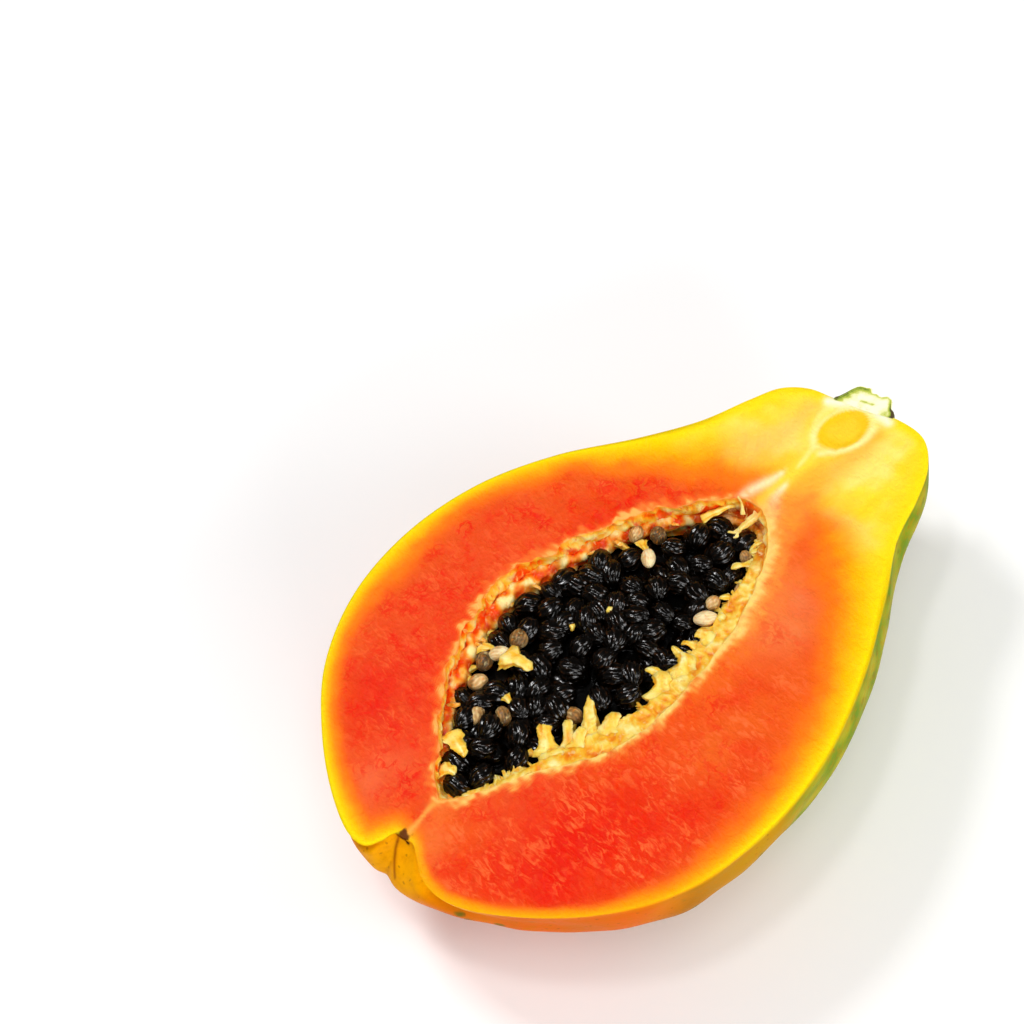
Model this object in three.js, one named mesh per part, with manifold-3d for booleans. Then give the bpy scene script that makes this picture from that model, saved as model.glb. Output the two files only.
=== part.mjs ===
// A papaya half, in millimetres, lying on its skin with the cut face up and level.
// +X runs along the fruit to the stalk, +Y to the side where the wall of the seed cavity is steep.
// The rest spot under the fruit is at the origin.
import * as THREE from 'three';
import { mergeVertices } from 'three/addons/utils/BufferGeometryUtils.js';
import Module from 'manifold-3d';

const CUT_HEIGHT = 48.6; // cut face above the table
const REST_X = 70; // from the blossom scar to the middle of the rest spot
const GAP = 0.35; // between neighbouring pieces

// Outlines from the blossom scar to the stalk. The rows of the three outlines answer to each other.
// In the cut face: along the fruit, half width, how far the side swells out below the cut.
const FAR_SIDE = [
  [0, 0, 0], [-0.5, 2, 0], [-4, 3, 0], [-7.5, 5, 0], [-8, 9.5, 0.05], [-4, 19.5, 0.1], [5, 32.8, 0.1],
  [17, 44.8, 0.1], [34, 53.4, 0.1], [54, 56.4, 0.1], [75, 53.6, 0.1], [94, 45.6, 0.15], [111.5, 34.2, 0.2],
  [125.5, 26.4, 0.25], [138, 21.9, 0.3], [145.5, 18.6, 0.3], [150, 13.5, 0.2], [152, 7.5, 0.1], [154.5, 0, 0],
];
const NEAR_SIDE = [
  [0, 0, 0], [0.5, 2.5, 0], [-1.5, 6, 0], [-3.6, 9.5, 0], [-4.3, 15, 0], [-2, 22, 0], [8, 35.3, 0.05],
  [22, 47.4, 0.1], [38, 55, 0.12], [60, 57.6, 0.12], [81, 54.7, 0.2], [102, 47, 0.3], [119.5, 37.6, 0.38],
  [133, 29.6, 0.38], [144, 26, 0.36], [153, 21.8, 0.3], [158, 16, 0.25], [157.7, 7.5, 0.1], [154.5, 0, 0],
];
// Underneath: along the fruit, depth below the cut face.
const UNDERSIDE = [
  [0, 0], [0, 2], [-2.5, 4], [-6, 7], [-7.5, 11], [-4.5, 18], [4, 27], [18, 38], [36, 46], [57, 49],
  [79, 49], [99, 45.5], [116, 40], [129, 35.5], [141, 32], [150, 27.5], [155, 20], [156, 10], [154.5, 0],
];
// The seed cavity: rim on either side as along and across, and its floor as along, across and depth.
const FAR_RIM = [
  [12, 1], [15, 5.5], [23, 13], [30.5, 20], [40.5, 25.7], [49, 29.4], [58, 30.8], [67, 29.9], [76, 27.3],
  [85, 24.9], [93.5, 21.1], [101.5, 16.6], [110.5, 9.3], [116, 4.3], [117, -1],
];
const NEAR_RIM = [
  [12, 1], [14.5, -1.5], [19.7, -4.7], [27.8, -8.2], [36, -12.4], [43, -16.7], [52, -20], [62, -20.9],
  [73, -20.5], [83, -19], [93.3, -16.6], [102, -13.5], [109.5, -9.5], [115, -4.6], [117, -1],
];
const FLOOR = [
  [12, 1, 0], [15, 1.5, 5], [20, 3, 10], [28, 4.5, 14.5], [38, 5.5, 18.5], [46, 6, 21], [55, 6, 23],
  [64, 5.5, 24], [74, 4.5, 23.5], [84, 3.5, 22], [93, 2.5, 19.5], [101, 1.5, 16], [109, 0, 11],
  [115, -1, 5.5], [117, -1, 0],
];

// Grooves between the lobes of the blossom end: where round the fruit, in degrees, how wide and how deep.
const GROOVES = [16, 88, 160];
const GROOVE_WIDTH = 0.17;
const GROOVE_DEPTH = 3;
const RIB = 0.008; // height of the five faint ribs, of the half width

const STEPS_ALONG = 60;
const STEPS_ROUND = 28;
const STEPS_CAVITY = 12;
const STEPS_SPACE_ALONG = 26;
const STEPS_SPACE_ROUND = 12;
const GRAIN_SIDES = 6;
const GRAIN_RINGS = 4;
const ROD_SIDES = 5;

const SEED_COUNT = 86;
const SEED_LENGTH = 6.2;
const SEED_WIDTH = 5;
const SEED_DEPTH = 5.6; // of the seeds' middles below the cut face, at the cavity's edge
const SEED_MOUND = 1; // how much higher they lie in the middle
const SEED_SCATTER = 1.2; // between the highest and the lowest beside each other

// Unripe pale seeds: along, across, below the cut face, length, width, turn in degrees.
const PALE_SEEDS = [
  [54, 18, 4.5, 5.2, 4.6, 20], [48, 18.5, 4, 5, 3.6, 150], [44.5, 20, 5, 5, 4.2, 30], [39.5, 17, 4.5, 4.8, 4, 160],
  [33.5, 11, 4.5, 4.8, 4, 40], [37.5, 6.5, 4.5, 4.8, 4, 60], [49, -5, 5, 4.6, 4, 100], [90, 10.5, 3.6, 5.4, 3.6, 110],
  [93.5, 18, 4.5, 4.6, 4, 20], [97, 14, 5, 4.6, 4.2, 50], [87.5, -10.5, 3.6, 5.6, 3.8, 35],
  [92, -8.5, 4.5, 4, 3.4, 0], [106, -6.2, 4, 4, 3, 60], [99, -11, 4, 3.6, 3, 0],
];
// The placenta's ring along the cavity wall: along, across, below the cut face, radius.
const RING = [
  [16, 1.5, 4.5, 1.2], [21, -2.6, 4.5, 2], [30, -7, 5, 3], [40, -12, 5.5, 4.2], [52, -16.6, 6, 4.8],
  [65, -17.6, 6, 4.4], [79, -16.8, 5.5, 4.2], [92, -14, 5, 3.8], [102, -11, 4.5, 2.8], [111, -6.5, 4.5, 1.8],
  [114, -1, 5, 1.2], [109, 7.5, 6, 1.3], [100, 14.8, 6.5, 1.6], [89, 20.2, 7, 1.7], [76, 24.6, 7.5, 1.8],
  [63, 27.6, 7.5, 1.9], [50, 26.6, 7, 2], [39, 21.4, 6.5, 2], [28, 14.6, 6, 1.9], [20, 7.6, 5, 1.5],
];
// Tendrils that reach in over the seeds: start and end as along, across, below the cut face.
const TENDRILS = [
  [[44, -13, 4], [42.5, -6.5, 3.2]], [[48, -14.5, 4], [45.5, -7.5, 3]], [[53, -16, 4], [52.5, -9, 3.2]],
  [[60, -17, 4], [58, -9.5, 3.4]], [[72, -17, 4], [70, -10.5, 3.2]], [[80, -16, 4], [79, -9.5, 3.2]],
  [[114, -1, 5], [107.5, 0.6, 2.4]], [[111, -0.6, 4], [107, -1.8, 2.4]], [[104, -9.5, 4], [99, -6.4, 3.2]],
];
const TENDRIL_RADIUS = 0.9;
const CORE_DEPTH = 5.2; // top of the bunch's core below the cut face

// The stalk's stub: share of its seat's radius, height above the seat, roughness; and the way it points.
const STUB_SIDES = 12;
const STUB_SHAPE = [[1, 1.6, 0.3], [0.95, 3.4, 0.8], [0.75, 5.6, 1], [0.4, 5.4, 0.5], [0, 5.2, 0]];
const STUB_WAY = new THREE.Vector3(0.95, 0.3, 0);

const wasm = await Module();
wasm.setup();

const curve = (rows) => new THREE.CatmullRomCurve3(
  rows.map((row) => new THREE.Vector3(row[0], row[1], row[2] ?? 0)), false, 'centripetal');
const farSide = curve(FAR_SIDE);
const nearSide = curve(NEAR_SIDE);
const underside = curve(UNDERSIDE);
const farRim = curve(FAR_RIM);
const nearRim = curve(NEAR_RIM);
const cavityFloor = curve(FLOOR);

// From a place measured from the scar, across and below the cut face, to the part's frame.
const place = (along, across, depth) => new THREE.Vector3(along - REST_X, across, CUT_HEIGHT - depth);
const ramp = (value, from, to) => THREE.MathUtils.clamp((value - from) / (to - from), 0, 1);

// The skin at t along the outlines, 0 to 1, and at the angle round the fruit from the far to the near side.
function skinPoint(t, angle) {
  const c = Math.cos(angle);
  const s = Math.sin(angle);
  const side = (c > 0 ? farSide : nearSide).getPoint(t);
  const under = underside.getPoint(t);
  const row = t * (UNDERSIDE.length - 1);
  const nearLobes = ramp(row, 1.2, 3) * ramp(row, 7, 4);
  const groove = nearLobes * GROOVES.reduce(
    (sum, at) => sum + Math.exp(-(((angle - THREE.MathUtils.degToRad(at)) / GROOVE_WIDTH) ** 2)), 0);
  const ribs = RIB * s * Math.cos(5 * (angle - THREE.MathUtils.degToRad(GROOVES[0])))
    * ramp(row, 4, 7) * ramp(row, 16, 13);
  const size = (1 - 0.05 * groove) * (1 - ribs);
  const point = place(
    side.x * c * c + under.x * s * s + GROOVE_DEPTH * groove,
    side.y * c * (1 + side.z * s) * size,
    under.y * s * size,
  );
  point.z = Math.max(point.z, 0);
  return point;
}

// The wall of the seed cavity, from the far rim over the floor to the near rim, drawn in by the inset.
function cavityPoint(t, angle, inset) {
  const c = Math.cos(angle);
  const s = Math.sin(angle);
  const rim = (c > 0 ? farRim : nearRim).getPoint(t);
  const floor = cavityFloor.getPoint(t);
  const steepness = c > 0 ? 0.75 : 1.15;
  const reach = (rim.y - floor.y) * Math.abs(c) ** steepness;
  const along = rim.x * c * c + floor.x * s * s;
  return place(
    along + inset * 2.5 * Math.cos(Math.PI * t),
    floor.y + Math.sign(reach) * Math.max(Math.abs(reach) - inset * 1.4 * Math.abs(c), 0),
    Math.max(floor.z * s - inset * 1.4 * s, 0),
  );
}

function meshOf(points, faces) {
  const geometry = new THREE.BufferGeometry();
  geometry.setAttribute('position', new THREE.Float32BufferAttribute(points.flatMap((p) => p.toArray()), 3));
  geometry.setIndex(faces.flat());
  return welded(geometry);
}

// One vertex for each place, and no faces that have shrunk to a line.
function welded(geometry) {
  geometry.deleteAttribute('normal');
  geometry.deleteAttribute('uv');
  const merged = mergeVertices(geometry, 1e-4);
  const index = Array.from(merged.index.array);
  const kept = [];
  for (let i = 0; i < index.length; i += 3) {
    const [a, b, c] = index.slice(i, i + 3);
    if (a !== b && b !== c && c !== a) kept.push(a, b, c);
  }
  merged.setIndex(kept);
  return merged;
}

// A net of faces over rows of points, each row as long as the next.
function net(rows, first, flip) {
  const faces = [];
  const width = rows[0].length;
  for (let i = 0; i + 1 < rows.length; i += 1) {
    for (let j = 0; j + 1 < width; j += 1) {
      const a = first + i * width + j;
      const b = a + width;
      const quad = [[a, b, b + 1], [a, b + 1, a + 1]];
      faces.push(...(flip ? quad.map((f) => [f[0], f[2], f[1]]) : quad));
    }
  }
  return faces;
}

const fractions = (count) => Array.from({ length: count + 1 }, (_, i) => i / count);
// The same fractions, drawn together at both ends.
const easedEnds = (t) => 0.5 * (t + (1 - Math.cos(Math.PI * t)) / 2);

function fruitHalf() {
  const outer = fractions(STEPS_ALONG).map((t) => fractions(STEPS_ROUND).map((v) => skinPoint(t, Math.PI * v)));
  const cavity = fractions(STEPS_ALONG).map((t) => fractions(STEPS_CAVITY).map(
    (v) => cavityPoint(easedEnds(t), Math.PI * v, 0)));
  const cutFar = outer.map((row, i) => [row[0], cavity[i][0]]);
  const cutNear = outer.map((row, i) => [row[STEPS_ROUND], cavity[i][STEPS_CAVITY]]);
  const points = [];
  const faces = [];
  for (const [rows, flip] of [[outer, false], [cavity, true], [cutFar, true], [cutNear, false]]) {
    faces.push(...net(rows, points.length, flip));
    points.push(...rows.flat());
  }
  return meshOf(points, faces);
}

// The space inside the cavity, kept clear of its wall, and open a little above the cut face.
function cavitySpace(inset) {
  const rows = fractions(STEPS_SPACE_ALONG).map((t) => fractions(STEPS_SPACE_ROUND).map(
    (v) => cavityPoint(easedEnds(t), Math.PI * v, inset)));
  const lids = rows.map((row) => [row[0], row[STEPS_SPACE_ROUND]]);
  const points = [...rows.flat(), ...lids.flat()];
  const faces = [...net(rows, 0, false), ...net(lids, rows.flat().length, true)];
  return meshOf(points, faces);
}

const solid = (geometry) => {
  const ready = welded(geometry);
  return new wasm.Manifold(new wasm.Mesh({
    numProp: 3,
    vertProperties: new Float32Array(ready.attributes.position.array),
    triVerts: new Uint32Array(ready.index.array),
  }));
};
const joined = (parts) => parts.reduce((whole, part) => whole.add(part));

// A grain shape at a place: a ball stretched along its length, turned round Z and tipped.
function grain(at, length, width, turn, tip) {
  const ball = new THREE.SphereGeometry(0.5, GRAIN_SIDES, GRAIN_RINGS);
  ball.rotateZ(Math.PI / 2);
  ball.scale(length, width, width);
  ball.rotateY(tip);
  ball.rotateZ(turn);
  ball.translate(at.x, at.y, at.z);
  return solid(ball);
}

// A rod along points, with a radius at each; closed into a ring if asked.
function rod(points, radii, ring) {
  const line = new THREE.CatmullRomCurve3(points, ring, 'centripetal');
  const width = new THREE.CatmullRomCurve3(radii.map((r) => new THREE.Vector3(r, 0, 0)), ring, 'centripetal');
  const steps = ring ? points.length * 2 : points.length - 1;
  const rows = [];
  for (let i = 0; i <= steps; i += 1) {
    const t = (i % (ring ? steps : steps + 1)) / steps;
    const middle = line.getPoint(t);
    const ahead = line.getTangent(t);
    const side = new THREE.Vector3(-ahead.y, ahead.x, 0).normalize();
    const up = new THREE.Vector3().crossVectors(ahead, side);
    const radius = Math.max(width.getPoint(t).x, 0.3);
    rows.push(fractions(ROD_SIDES).map((v) => {
      const angle = 2 * Math.PI * (v % 1);
      return middle.clone().addScaledVector(side, radius * Math.cos(angle))
        .addScaledVector(up, radius * Math.sin(angle));
    }));
  }
  const found = rows.flat();
  const faces = net(rows, 0, true);
  if (!ring) {
    for (const [row, flip] of [[rows[0], true], [rows[steps], false]]) {
      const first = found.length;
      const middle = row.slice(0, ROD_SIDES).reduce((sum, p) => sum.add(p), new THREE.Vector3());
      found.push(middle.divideScalar(ROD_SIDES), ...row);
      for (let j = 0; j < ROD_SIDES; j += 1) {
        faces.push(flip ? [first, first + 2 + j, first + 1 + j] : [first, first + 1 + j, first + 2 + j]);
      }
    }
  }
  return solid(meshOf(found, faces));
}

const dice = (start) => {
  let state = start;
  return () => {
    state = (state * 48271) % 2147483647;
    return state / 2147483647;
  };
};

// How far across a rim lies at a place along the fruit.
function rimAt(rows, along) {
  const after = rows.findIndex((row) => row[0] > along);
  const [a, b] = [rows[after - 1], rows[after]];
  return a[1] + ((b[1] - a[1]) * (along - a[0])) / (b[0] - a[0]);
}

// The black seeds lie close in the cavity and mound up in the middle; each new one goes where most room is.
function seedPlaces() {
  const draw = dice(11);
  const taken = PALE_SEEDS.map(([along, across]) => ({ along, across }));
  const seeds = [];
  while (seeds.length < SEED_COUNT) {
    let best = null;
    for (let tries = 0; tries < 40; tries += 1) {
      const along = 19 + 92 * draw();
      const across = -16 + 44 * draw();
      const high = rimAt(FAR_RIM, along) - 4.8;
      const low = rimAt(NEAR_RIM, along) + 4 + 2.6 * ramp(along, 20, 40) * ramp(along, 110, 95);
      const room = Math.min(...taken.map((s) => Math.hypot(s.along - along, s.across - across)));
      if (across < high && across > low && (!best || room > best.room)) {
        const inner = Math.min(high - across, across - low) / 12;
        best = { along, across, room, inner: Math.min(inner, 1) };
      }
    }
    if (best) {
      taken.push(best);
      seeds.push({
        at: place(best.along, best.across, SEED_DEPTH - SEED_MOUND * best.inner + SEED_SCATTER * (draw() - 0.5)),
        turn: 2 * Math.PI * draw(),
        tip: 0.9 * (draw() - 0.5),
        size: 0.88 + 0.24 * draw(),
      });
    }
  }
  return seeds;
}

// The ring, the strands with the pale seeds on their ends and the tendrils, all thicker by the extra.
function placentaSolid(extra) {
  const ring = rod(RING.map(([x, y, d]) => place(x, y, d)), RING.map((row) => row[3] + extra), true);
  const strands = PALE_SEEDS.flatMap(([along, across, depth, length, width, turn]) => {
    const nearest = RING.reduce((a, b) => (
      Math.hypot(b[0] - along, b[1] - across) < Math.hypot(a[0] - along, a[1] - across) ? b : a));
    const from = place(nearest[0], nearest[1], nearest[2]);
    const to = place(along, across, depth + 0.6);
    const middle = from.clone().lerp(to, 0.5);
    const radius = TENDRIL_RADIUS + extra;
    return [
      rod([from, middle, to], [radius * 1.2, radius, radius], false),
      grain(place(along, across, depth), length + 2 * extra, width + 2 * extra,
        THREE.MathUtils.degToRad(turn), 0),
    ];
  });
  const tendrils = TENDRILS.map(([from, to]) => {
    const [start, end] = [place(...from), place(...to)];
    const middle = start.clone().lerp(end, 0.55);
    const radius = TENDRIL_RADIUS + extra;
    return rod([start, middle, end], [radius * 1.5, radius * 1.1, radius * 0.7], false);
  });
  return joined([ring, ...strands, ...tendrils]);
}

// Keeps the largest body, so that no scrap stays loose after a cut.
function largestBody(manifold) {
  const mesh = manifold.getMesh();
  const corners = mesh.vertProperties.length / mesh.numProp;
  const root = Array.from({ length: corners }, (_, i) => i);
  const find = (i) => {
    let at = i;
    while (root[at] !== at) {
      root[at] = root[root[at]];
      at = root[at];
    }
    return at;
  };
  for (let i = 0; i < mesh.triVerts.length; i += 3) {
    const [a, b, c] = mesh.triVerts.slice(i, i + 3);
    root[find(a)] = find(b);
    root[find(b)] = find(c);
  }
  const count = new Map();
  for (const v of mesh.triVerts) count.set(find(v), (count.get(find(v)) ?? 0) + 1);
  const main = [...count.entries()].sort((a, b) => b[1] - a[1])[0][0];
  const geometry = new THREE.BufferGeometry();
  geometry.setAttribute('position', new THREE.Float32BufferAttribute(mesh.vertProperties, 3));
  const faces = [];
  for (let i = 0; i < mesh.triVerts.length; i += 3) {
    if (find(mesh.triVerts[i]) === main) faces.push(...mesh.triVerts.slice(i, i + 3));
  }
  geometry.setIndex(faces);
  return geometry;
}

// The bunch of black seeds: the top layer sunk into a smaller core, cut clear of the placenta and the wall.
function blackSeeds() {
  const seeds = seedPlaces().map((s) => grain(
    s.at, SEED_LENGTH * s.size, SEED_WIDTH * s.size, s.turn, s.tip));
  const block = new THREE.BoxGeometry(200, 100, CUT_HEIGHT);
  block.translate(0, 0, CUT_HEIGHT / 2 - CORE_DEPTH);
  const core = solid(cavitySpace(1)).intersect(solid(block));
  return largestBody(joined([core, ...seeds]).intersect(solid(cavitySpace(GAP)))
    .subtract(placentaSolid(GAP)));
}

function placenta() {
  return largestBody(placentaSolid(0).intersect(solid(cavitySpace(GAP))));
}

// The stub stands on the skin round the end of the fruit's axis and is cut lengthwise with it.
function stalkStub() {
  const draw = dice(5);
  const angles = fractions(STUB_SIDES).map((v) => Math.PI * v);
  const seat = (share, angle) => skinPoint(1 - share / (UNDERSIDE.length - 1), angle)
    .add(new THREE.Vector3(GAP, 0, 0));
  const rows = [0, 0.5, 1].map((share) => angles.map((angle) => seat(share, angle)));
  for (const [share, height, rough] of STUB_SHAPE) {
    rows.push(angles.map((angle) => seat(share, angle)
      .addScaledVector(STUB_WAY, height + rough * (draw() - 0.5))));
  }
  const ends = rows.map((row) => [row[0], row[STUB_SIDES]]);
  return meshOf([...rows.flat(), ...ends.flat()], [...net(rows, 0, false), ...net(ends, rows.flat().length, true)]);
}

const looks = (name, geometry, color, roughness) => {
  geometry.computeVertexNormals();
  const mesh = new THREE.Mesh(geometry, new THREE.MeshStandardMaterial({ color, roughness }));
  mesh.name = name;
  return mesh;
};

const papaya = new THREE.Group();
papaya.name = 'papaya_half';
papaya.add(
  looks('fruit_half', fruitHalf(), '#f2793a', 0.45),
  looks('stalk_stub', stalkStub(), '#c9cf86', 0.8),
  looks('seeds_black', blackSeeds(), '#1c1814', 0.25),
  looks('placenta', placenta(), '#f0c468', 0.5),
);

export default papaya;
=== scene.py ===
import math

import bpy
import numpy as np
from bpy.props import FloatProperty, FloatVectorProperty, IntProperty, PointerProperty
from bpy.types import Operator, Panel, PropertyGroup
from mathutils import Matrix, Vector


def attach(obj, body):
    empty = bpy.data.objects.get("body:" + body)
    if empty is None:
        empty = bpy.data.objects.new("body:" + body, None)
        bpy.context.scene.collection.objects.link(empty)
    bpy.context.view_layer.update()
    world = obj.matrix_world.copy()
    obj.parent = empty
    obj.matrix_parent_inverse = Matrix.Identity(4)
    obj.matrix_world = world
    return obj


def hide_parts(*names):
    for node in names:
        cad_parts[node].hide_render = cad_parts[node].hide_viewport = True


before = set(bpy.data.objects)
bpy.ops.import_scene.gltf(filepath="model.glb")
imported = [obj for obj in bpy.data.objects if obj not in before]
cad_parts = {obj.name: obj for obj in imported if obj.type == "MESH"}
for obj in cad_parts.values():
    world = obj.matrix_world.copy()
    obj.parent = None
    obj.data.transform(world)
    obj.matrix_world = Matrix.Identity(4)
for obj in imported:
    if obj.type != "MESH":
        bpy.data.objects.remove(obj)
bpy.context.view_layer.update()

bl_info = {
    "name": "Papaya half",
    "version": (1, 0, 0),
    "blender": (4, 5, 0),
    "location": "3D View > Sidebar > Papaya",
    "description": "Dresses a papaya half: skin and flesh, stalk stub, black seeds and placenta",
    "category": "Add Mesh",
}

MM = 0.001

# The fruit's measures, in millimetres, as in the solids: the cut face's height, and how far along from the
# blossom end's scar the part's origin lies.
CUT_HEIGHT = 48.6
REST_X = 70
# Outlines of the cut face, scar to stalk: along, across, and how much wider the fruit is below.
FAR_SIDE = [
    (0, 0, 0), (-0.5, 2, 0), (-4, 3, 0), (-7.5, 5, 0), (-8, 9.5, 0.05), (-4, 19.5, 0.1), (5, 32.8, 0.1),
    (17, 44.8, 0.1), (34, 53.4, 0.1), (54, 56.4, 0.1), (75, 53.6, 0.1), (94, 45.6, 0.15),
    (111.5, 34.2, 0.2), (125.5, 26.4, 0.25), (138, 21.9, 0.3), (145.5, 18.6, 0.3), (150, 13.5, 0.2),
    (152, 7.5, 0.1), (154.5, 0, 0),
]
NEAR_SIDE = [
    (0, 0, 0), (0.5, 2.5, 0), (-1.5, 6, 0), (-3.6, 9.5, 0), (-4.3, 15, 0), (-2, 22, 0), (8, 35.3, 0.05),
    (22, 47.4, 0.1), (38, 55, 0.12), (60, 57.6, 0.12), (81, 54.7, 0.2), (102, 47, 0.3),
    (119.5, 37.6, 0.38), (133, 29.6, 0.38), (144, 26, 0.36), (153, 21.8, 0.3), (158, 16, 0.25),
    (157.7, 7.5, 0.1), (154.5, 0, 0),
]
# The fruit's lowest line, scar to stalk: along, and how far below the cut face.
UNDERSIDE = [
    (0, 0), (0, 2), (-2.5, 4), (-6, 7), (-7.5, 11), (-4.5, 18), (4, 27), (18, 38), (36, 46), (57, 49),
    (79, 49), (99, 45.5), (116, 40), (129, 35.5), (141, 32), (150, 27.5), (155, 20), (156, 10),
    (154.5, 0),
]
# The cavity's rim, blossom end to stalk end: along, across.
FAR_RIM = [
    (12, 1), (15, 5.5), (23, 13), (30.5, 20), (40.5, 25.7), (49, 29.4), (58, 30.8), (67, 29.9),
    (76, 27.3), (85, 24.9), (93.5, 21.1), (101.5, 16.6), (110.5, 9.3), (116, 4.3), (117, -1),
]
NEAR_RIM = [
    (12, 1), (14.5, -1.5), (19.7, -4.7), (27.8, -8.2), (36, -12.4), (43, -16.7), (52, -20), (62, -20.9),
    (73, -20.5), (83, -19), (93.3, -16.6), (102, -13.5), (109.5, -9.5), (115, -4.6), (117, -1),
]
# The cavity's deepest line: along, across, below the cut face.
FLOOR = [
    (12, 1, 0), (15, 1.5, 5), (20, 3, 10), (28, 4.5, 14.5), (38, 5.5, 18.5), (46, 6, 21), (55, 6, 23),
    (64, 5.5, 24), (74, 4.5, 23.5), (84, 3.5, 22), (93, 2.5, 19.5), (101, 1.5, 16), (109, 0, 11),
    (115, -1, 5.5), (117, -1, 0),
]
# The grooves' places round the fruit, in degrees, and how deep each is beside the deepest.
GROOVES = ((16, 1), (88, 0.35), (160, 1))
GROOVE_WIDTH = 0.17
GROOVE_DEPTH = 3
# How far five shallow ribs stand out from the skin, as a share of its distance from the middle.
RIB = 0.008
# The stub's seat on the fruit, how far it slants, and the stub's half width and depth.
STUB_SEAT, STUB_SLANT = 154.1, 0.37
STUB_HALF, STUB_DEPTH = 7.1, 5.6

# Unripe pale seeds: along, across, below the cut face, length, width, turn in degrees, how brown.
PALE_SEEDS = [
    (54, 18, 4.5, 5.2, 4.6, 20, 0.75), (48, 18.5, 4, 5, 3.6, 150, 0.1), (44.5, 20, 5, 5, 4.2, 30, 0.95),
    (39.5, 17, 4.5, 4.8, 4, 160, 0.45), (33.5, 11, 4.5, 4.8, 4, 40, 0.5),
    (37.5, 6.5, 4.5, 4.8, 4, 60, 0.7), (49, -5, 5, 4.6, 4, 100, 0.6), (90, 10.5, 3.6, 4.9, 3.5, 45, 0.05),
    (93.5, 18, 5.6, 4.6, 3.6, 20, 0.4), (97, 14, 6, 4.6, 4.2, 50, 0.9),
    (87.5, -10.5, 3.4, 5.8, 3.8, 140, 0), (92, -8.5, 4.5, 4, 3.4, 0, 0.35), (106, -6.2, 4, 4, 3, 60, 0.5),
    (99, -11, 4, 3.6, 3, 0, 0.5),
]
# Black seeds packed into the cavity's blossom end and against its near side: along, across, below the cut
# face. A seed closer to one of them than END_ROOM makes way for it.
END_SEEDS = [
    (18.2, 1.8, 4.4), (23.6, -0.6, 4.2), (32, -3.6, 4.4), (28.6, 4.2, 4.6), (31.4, 12.6, 4.6),
    (56, -6.4, 4.2), (61, -10.8, 4),
]
END_ROOM = 4.3
# The placenta's ring along the cavity wall: along, across, below the cut face, radius.
RING = [
    (16, 1.5, 5, 1), (21, -3.6, 4, 1.1), (30, -8, 3.4, 1.7), (40, -12.9, 3.8, 3.6), (52, -17.4, 3.9, 4.1),
    (63, -18.8, 3.8, 3.3), (70, -18.4, 3.8, 3.7), (79, -17.6, 3.6, 3.8), (92, -14.9, 3.3, 3.3),
    (102, -11.8, 2.8, 2.3), (111, -7, 3.4, 1.4), (114, -1, 5.6, 1), (109, 8.4, 6, 1.3),
    (100, 15.8, 6.5, 1.7), (89, 21.4, 6.8, 2.1), (76, 25.8, 6.8, 2.5), (63, 28.6, 6.8, 2.7),
    (50, 27.5, 6.6, 2.6), (39, 22.5, 6.2, 2.3), (28, 15.8, 6, 1.9), (20, 8.6, 5.4, 1.3),
]
# How wide the yellow band under the skin is, by the way along, on either side.
FAR_BAND = [
    (-10, 6), (0, 3.6), (10, 2.5), (25, 2.8), (45, 4.6), (70, 3.6), (93, 4), (105, 6.4), (112, 10.5),
    (120, 15), (130, 20),
]
NEAR_BAND = [
    (-5, 2.4), (0, 1.3), (18, 1.4), (35, 2.4), (50, 4.4), (75, 5.8), (86, 6.4), (95, 7.2), (105, 9),
    (115, 12), (125, 14), (135, 19),
]
# Colours across the band, from the skin inwards, by shares of its width.
FLESH_BAND = [
    (0, "#D4B000"), (0.1, "#FCDE00"), (0.4, "#FDC200"), (0.75, "#FDA008"), (1.1, "#FA8010"),
    (1.7, "#F66810"), (2.5, "#F35210"), (3.6, "#F2440E"),
]
# Patches of the flesh: middle along and across, half sizes, colour and strength.
PATCHES = [
    ((22, -29), (26, 13), "#F01C02", 1.0), ((48, -38), (26, 10), "#F02602", 0.9),
    ((22, 29), (15, 13), "#EE2810", 0.8), ((6, 16), (9, 7), "#F86A3C", 0.7),
    ((102, -25), (15, 10), "#FA8A4C", 0.85), ((117, -14), (8, 5), "#F25010", 0.7),
    ((80, -36), (16, 9), "#F55E14", 0.8), ((96, 33), (26, 5), "#F25A1A", 0.6),
    ((62, 44), (26, 5), "#F04A16", 0.6), ((61, -35), (11, 6), "#F66C20", 0.8),
    ((10, -4), (6, 8), "#F8600C", 0.7), ((45, 36), (16, 7), "#F04A1A", 0.6),
]
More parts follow.
